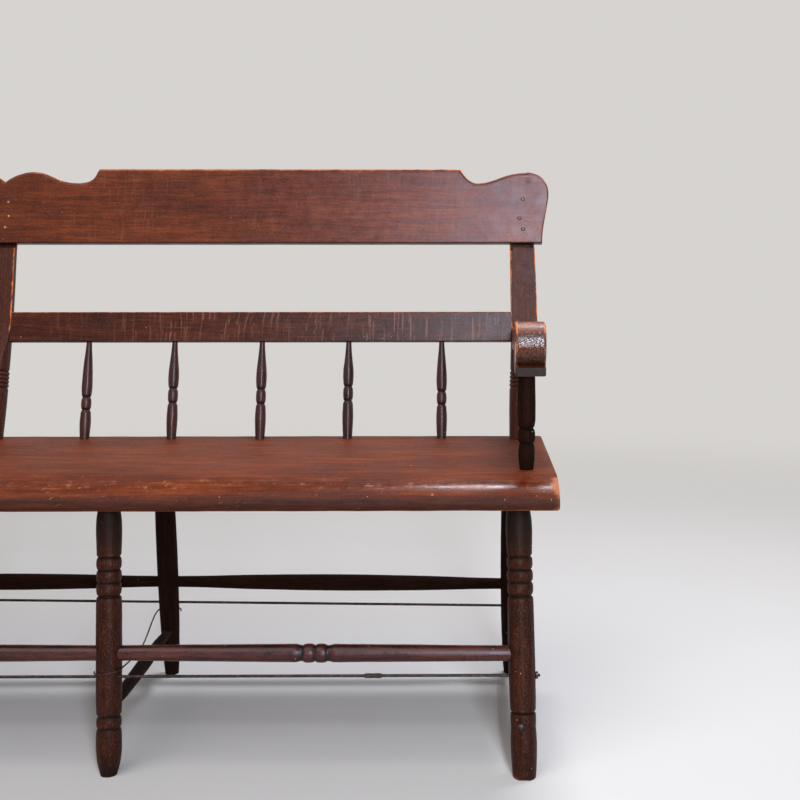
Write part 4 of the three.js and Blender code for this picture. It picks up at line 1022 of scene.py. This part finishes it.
def make_rods():
    splice = [(-3, 1), (-2.8, 1.45), (-1.5, 1.65), (0, 1.5), (1.5, 1.65), (2.8, 1.45), (3, 1)]
    rods = (
        ("front_rod", front_leg_axis, FRONT_ROD_HEIGHTS, LEG_RADIUS),
        ("rear_rod", rear_leg_axis, REAR_ROD_HEIGHTS, REAR_LEG_RADIUS),
    )
    for k, (name, axis_of, heights, leg_radius) in enumerate(rods):
        ends = [at_height(axis_of(x), z) for x, z in zip((-END_LEG_X, END_LEG_X), heights)]
        along = unit(ends[1] - ends[0])
        reach = leg_radius + 7.3 * MM
        start, end = ends[0] - reach * along, ends[1] + reach * along
        length = norm(end - start)
        rows = [(0, 0.7), (0.6 * MM / length, 1), (1 - 0.6 * MM / length, 1), (1, 0.7)]
        if name == "front_rod":
            middle = (SPLICE_X - start[0]) / length
            rows[2:2] = [(middle + 4.5 * MM * s / length, r) for s, r in splice]
        turned(f"{name}_bar", name, start, end, rows, ROD_RADIUS, IRON, 18, rough=0.1 * MM)
        for j, (tip, inward) in enumerate(((start, along), (end, -along))):
            make_nut(2 * k + j + 1, tip + 3 * MM * inward, tip + 7 * MM * inward)


def centripetal(points, steps):
    """A smooth curve through the points."""
    p = [2 * points[0] - points[1], *points, 2 * points[-1] - points[-2]]
    made = []
    for a, b, c, d in zip(p, p[1:], p[2:], p[3:]):
        t1 = norm(b - a) ** 0.5
        t2 = t1 + norm(c - b) ** 0.5
        t3 = t2 + norm(d - c) ** 0.5
        for t in np.linspace(t1, t2, steps, endpoint=False):
            ab = lerp(a, b, t / t1)
            bc = lerp(b, c, (t - t1) / (t2 - t1))
            cd = lerp(c, d, (t - t2) / (t3 - t2))
            made.append(lerp(lerp(ab, bc, t / t2), lerp(bc, cd, (t - t1) / (t3 - t1)), (t - t1) / (t2 - t1)))
    return np.array([*made, points[-1]])


def tube(name, node, route, radius, finish, sides=12):
    """A round wire along a route."""
    ahead = np.gradient(route, axis=0)
    ahead /= norm(ahead, axis=1)[:, None]
    normal = np.cross(ahead[0], (0, 0, 1))
    across = radius * around(np.linspace(0, 2 * math.pi, sides, endpoint=False))
    points, grain = [], []
    for here, forward, travelled in zip(route, ahead, along_path(route)[1]):
        normal = unit(normal - (normal @ forward) * forward)
        points += list(here + across @ np.array([normal, np.cross(forward, normal)]))
        grain += [(*place, travelled) for place in across]
    finish_piece(name, node, points, pipe_faces(len(route), sides), {"grain": np.array(grain)}, finish)


def make_wires():
    def ring(axis, radius, height, step, rise, side):
        made = []
        for n in range(6):
            turn = math.radians(step * n)
            centre = at_height(axis, height + rise * (n / 5 - 0.5))
            made.append(centre + radius * np.array((side * math.cos(turn), math.sin(turn), 0)))
        return made

    front_reach, rear_reach = (radius + WIRE_RADIUS + 1.2 * MM for radius in (LEG_RADIUS, REAR_LEG_RADIUS))
    for word, x in (("left", -INNER_LEG_X), ("right", INNER_LEG_X)):
        side = math.copysign(1, x)
        rear_turn = ring(rear_leg_axis(x), rear_reach, REAR_WIRE_HEIGHT, 36, 0, side)
        front_turn = ring(front_leg_axis(x), front_reach, FRONT_WIRE_HEIGHT, -36, -8 * MM, side)
        outside = at_height(front_leg_axis(x), FRONT_WIRE_HEIGHT) + (side * front_reach, 0, 0)
        middle = lerp(rear_turn[-1], outside, 0.5) - (0, 0, 14 * MM)
        route = centripetal([*rear_turn, middle, *front_turn], 12)
        tube(f"wire_{word}", f"tie_wire_{word}", route, WIRE_RADIUS, IRON)


def make_bolt():
    front = at_height(front_leg_axis(END_LEG_X), BOLT_HEIGHT)
    rear = at_height(rear_leg_axis(END_LEG_X), SIDE_STRETCHER_HEIGHTS[1])
    along = unit(rear - front)
    seat = front - 0.86 * LEG_RADIUS * along - np.array((3.5 * MM, 0, 0))
    dome = [(0, 0.94), (0.35, 0.96), (0.4, 1), (0.5, 0.985), (0.65, 0.9), (0.78, 0.76), (0.89, 0.55),
            (0.96, 0.3), (1, 0.06)]
    turned("bolt_head", "foot_bolt", seat + 2 * MM * along, seat - 5 * MM * along, dome, 7.2 * MM, IRON, 40,
           rough=0.15 * MM)


# Floor, light and camera

BACKDROP = rgb(214, 211, 208)

def seen_share(g):
    """1 where the eye sees a surface, straight or in a glossy or clear piece, and 0 where it gives light."""
    ways = [g.node("LightPath", {}, f"Is {way} Ray") for way in ("Camera", "Glossy", "Transmission")]
    return g.add(*ways, clamp=True)


def make_stage():
    half = 40
    corners = [(x * half, y * half, 0) for x, y in ((-1, -1), (1, -1), (1, 1), (-1, 1))]
    mesh = bpy.data.meshes.new("floor")
    mesh.from_pydata(corners, [], [(0, 1, 2, 3)])
    g = Graph(bpy.data.materials.new("pale_floor"))
    place = g.node("NewGeometry", {}, "Position")
    tone = g.mix(g.noise(place, 1.4, 4), rgb(216, 213, 209), rgb(224, 221, 217))
    g.feed(g.shader, {"Base Color": tone, "Roughness": 0.85, "Specular IOR Level": 0.2})
    away = g.vector("LENGTH", g.vector("MULTIPLY", place, (0.6, 1, 0)), output=1)
    far = g.times(g.between(away, 0.9, 3.2), seen_share(g))
    glow = g.node("Emission", {"Color": BACKDROP, "Strength": 1})
    both = g.node("MixShader", {0: far, 1: g.shader.outputs[0], 2: glow})
    g.feed(g.tree.nodes["Material Output"], {"Surface": both})
    mesh.materials.append(g.owner)
    put("floor", mesh)

    g = Graph(bpy.data.worlds.new("pale_world"))
    g.feed(g.tree.nodes["Background"], {"Color": g.mix(seen_share(g), (0.16, 0.16, 0.165, 1), BACKDROP)})
    bpy.context.scene.world = g.owner


def lamp(name, kind, direction, power, color, place=(0, 0, 0), **settings):
    """A lamp that shines in a direction."""
    light = bpy.data.lights.new(name, kind)
    light.energy, light.color = power, color
    for key, value in settings.items():
        setattr(light, key, value)
    put(name, light, place, Vector(direction).to_track_quat("-Z", "Y").to_euler())


def make_lights():
    soft = (
        ("key", (1.3, -3.35, 1.95), (0.85, 0.1, 0.6), (0.5, 2), 98, (0.79, 0.86, 1)),
        ("low", (1.2, -3.3, 0.5), (0.96, -0.2, 0.5), (0.22, 0.94), 21, (0.87, 0.91, 1)),
        ("rim", (1.2, 0.5, 2.6), (0.82, -0.2, 0.42), (0.9, 0.24), 42, (0.9, 0.92, 1)),
    )
    for name, place, target, (wide, high), power, color in soft:
        lamp(name, "AREA", Vector(target) - Vector(place), power, color, place, shape="RECTANGLE", size=wide,
             size_y=high)
    lamp("overhead", "SUN", (0.35, 0.55, -1), 1.05, (1, 0.97, 0.94), angle=math.radians(45))


def make_camera():
    data = bpy.data.cameras.new("camera")
    data.lens, data.sensor_width = LENS, 36
    data.shift_x, data.shift_y = SHIFT
    bpy.context.scene.camera = put("camera", data, CAMERA_PLACE, [math.radians(a) for a in CAMERA_TURN])


make_camera()
make_seat()
make_underframe()
make_posts()
make_spindles()
make_mid_rails()
make_crest()
make_nails()
make_arms()
make_rods()
make_wires()
make_bolt()
make_stage()
make_lights()
bpy.context.scene.view_settings.view_transform = "Standard"
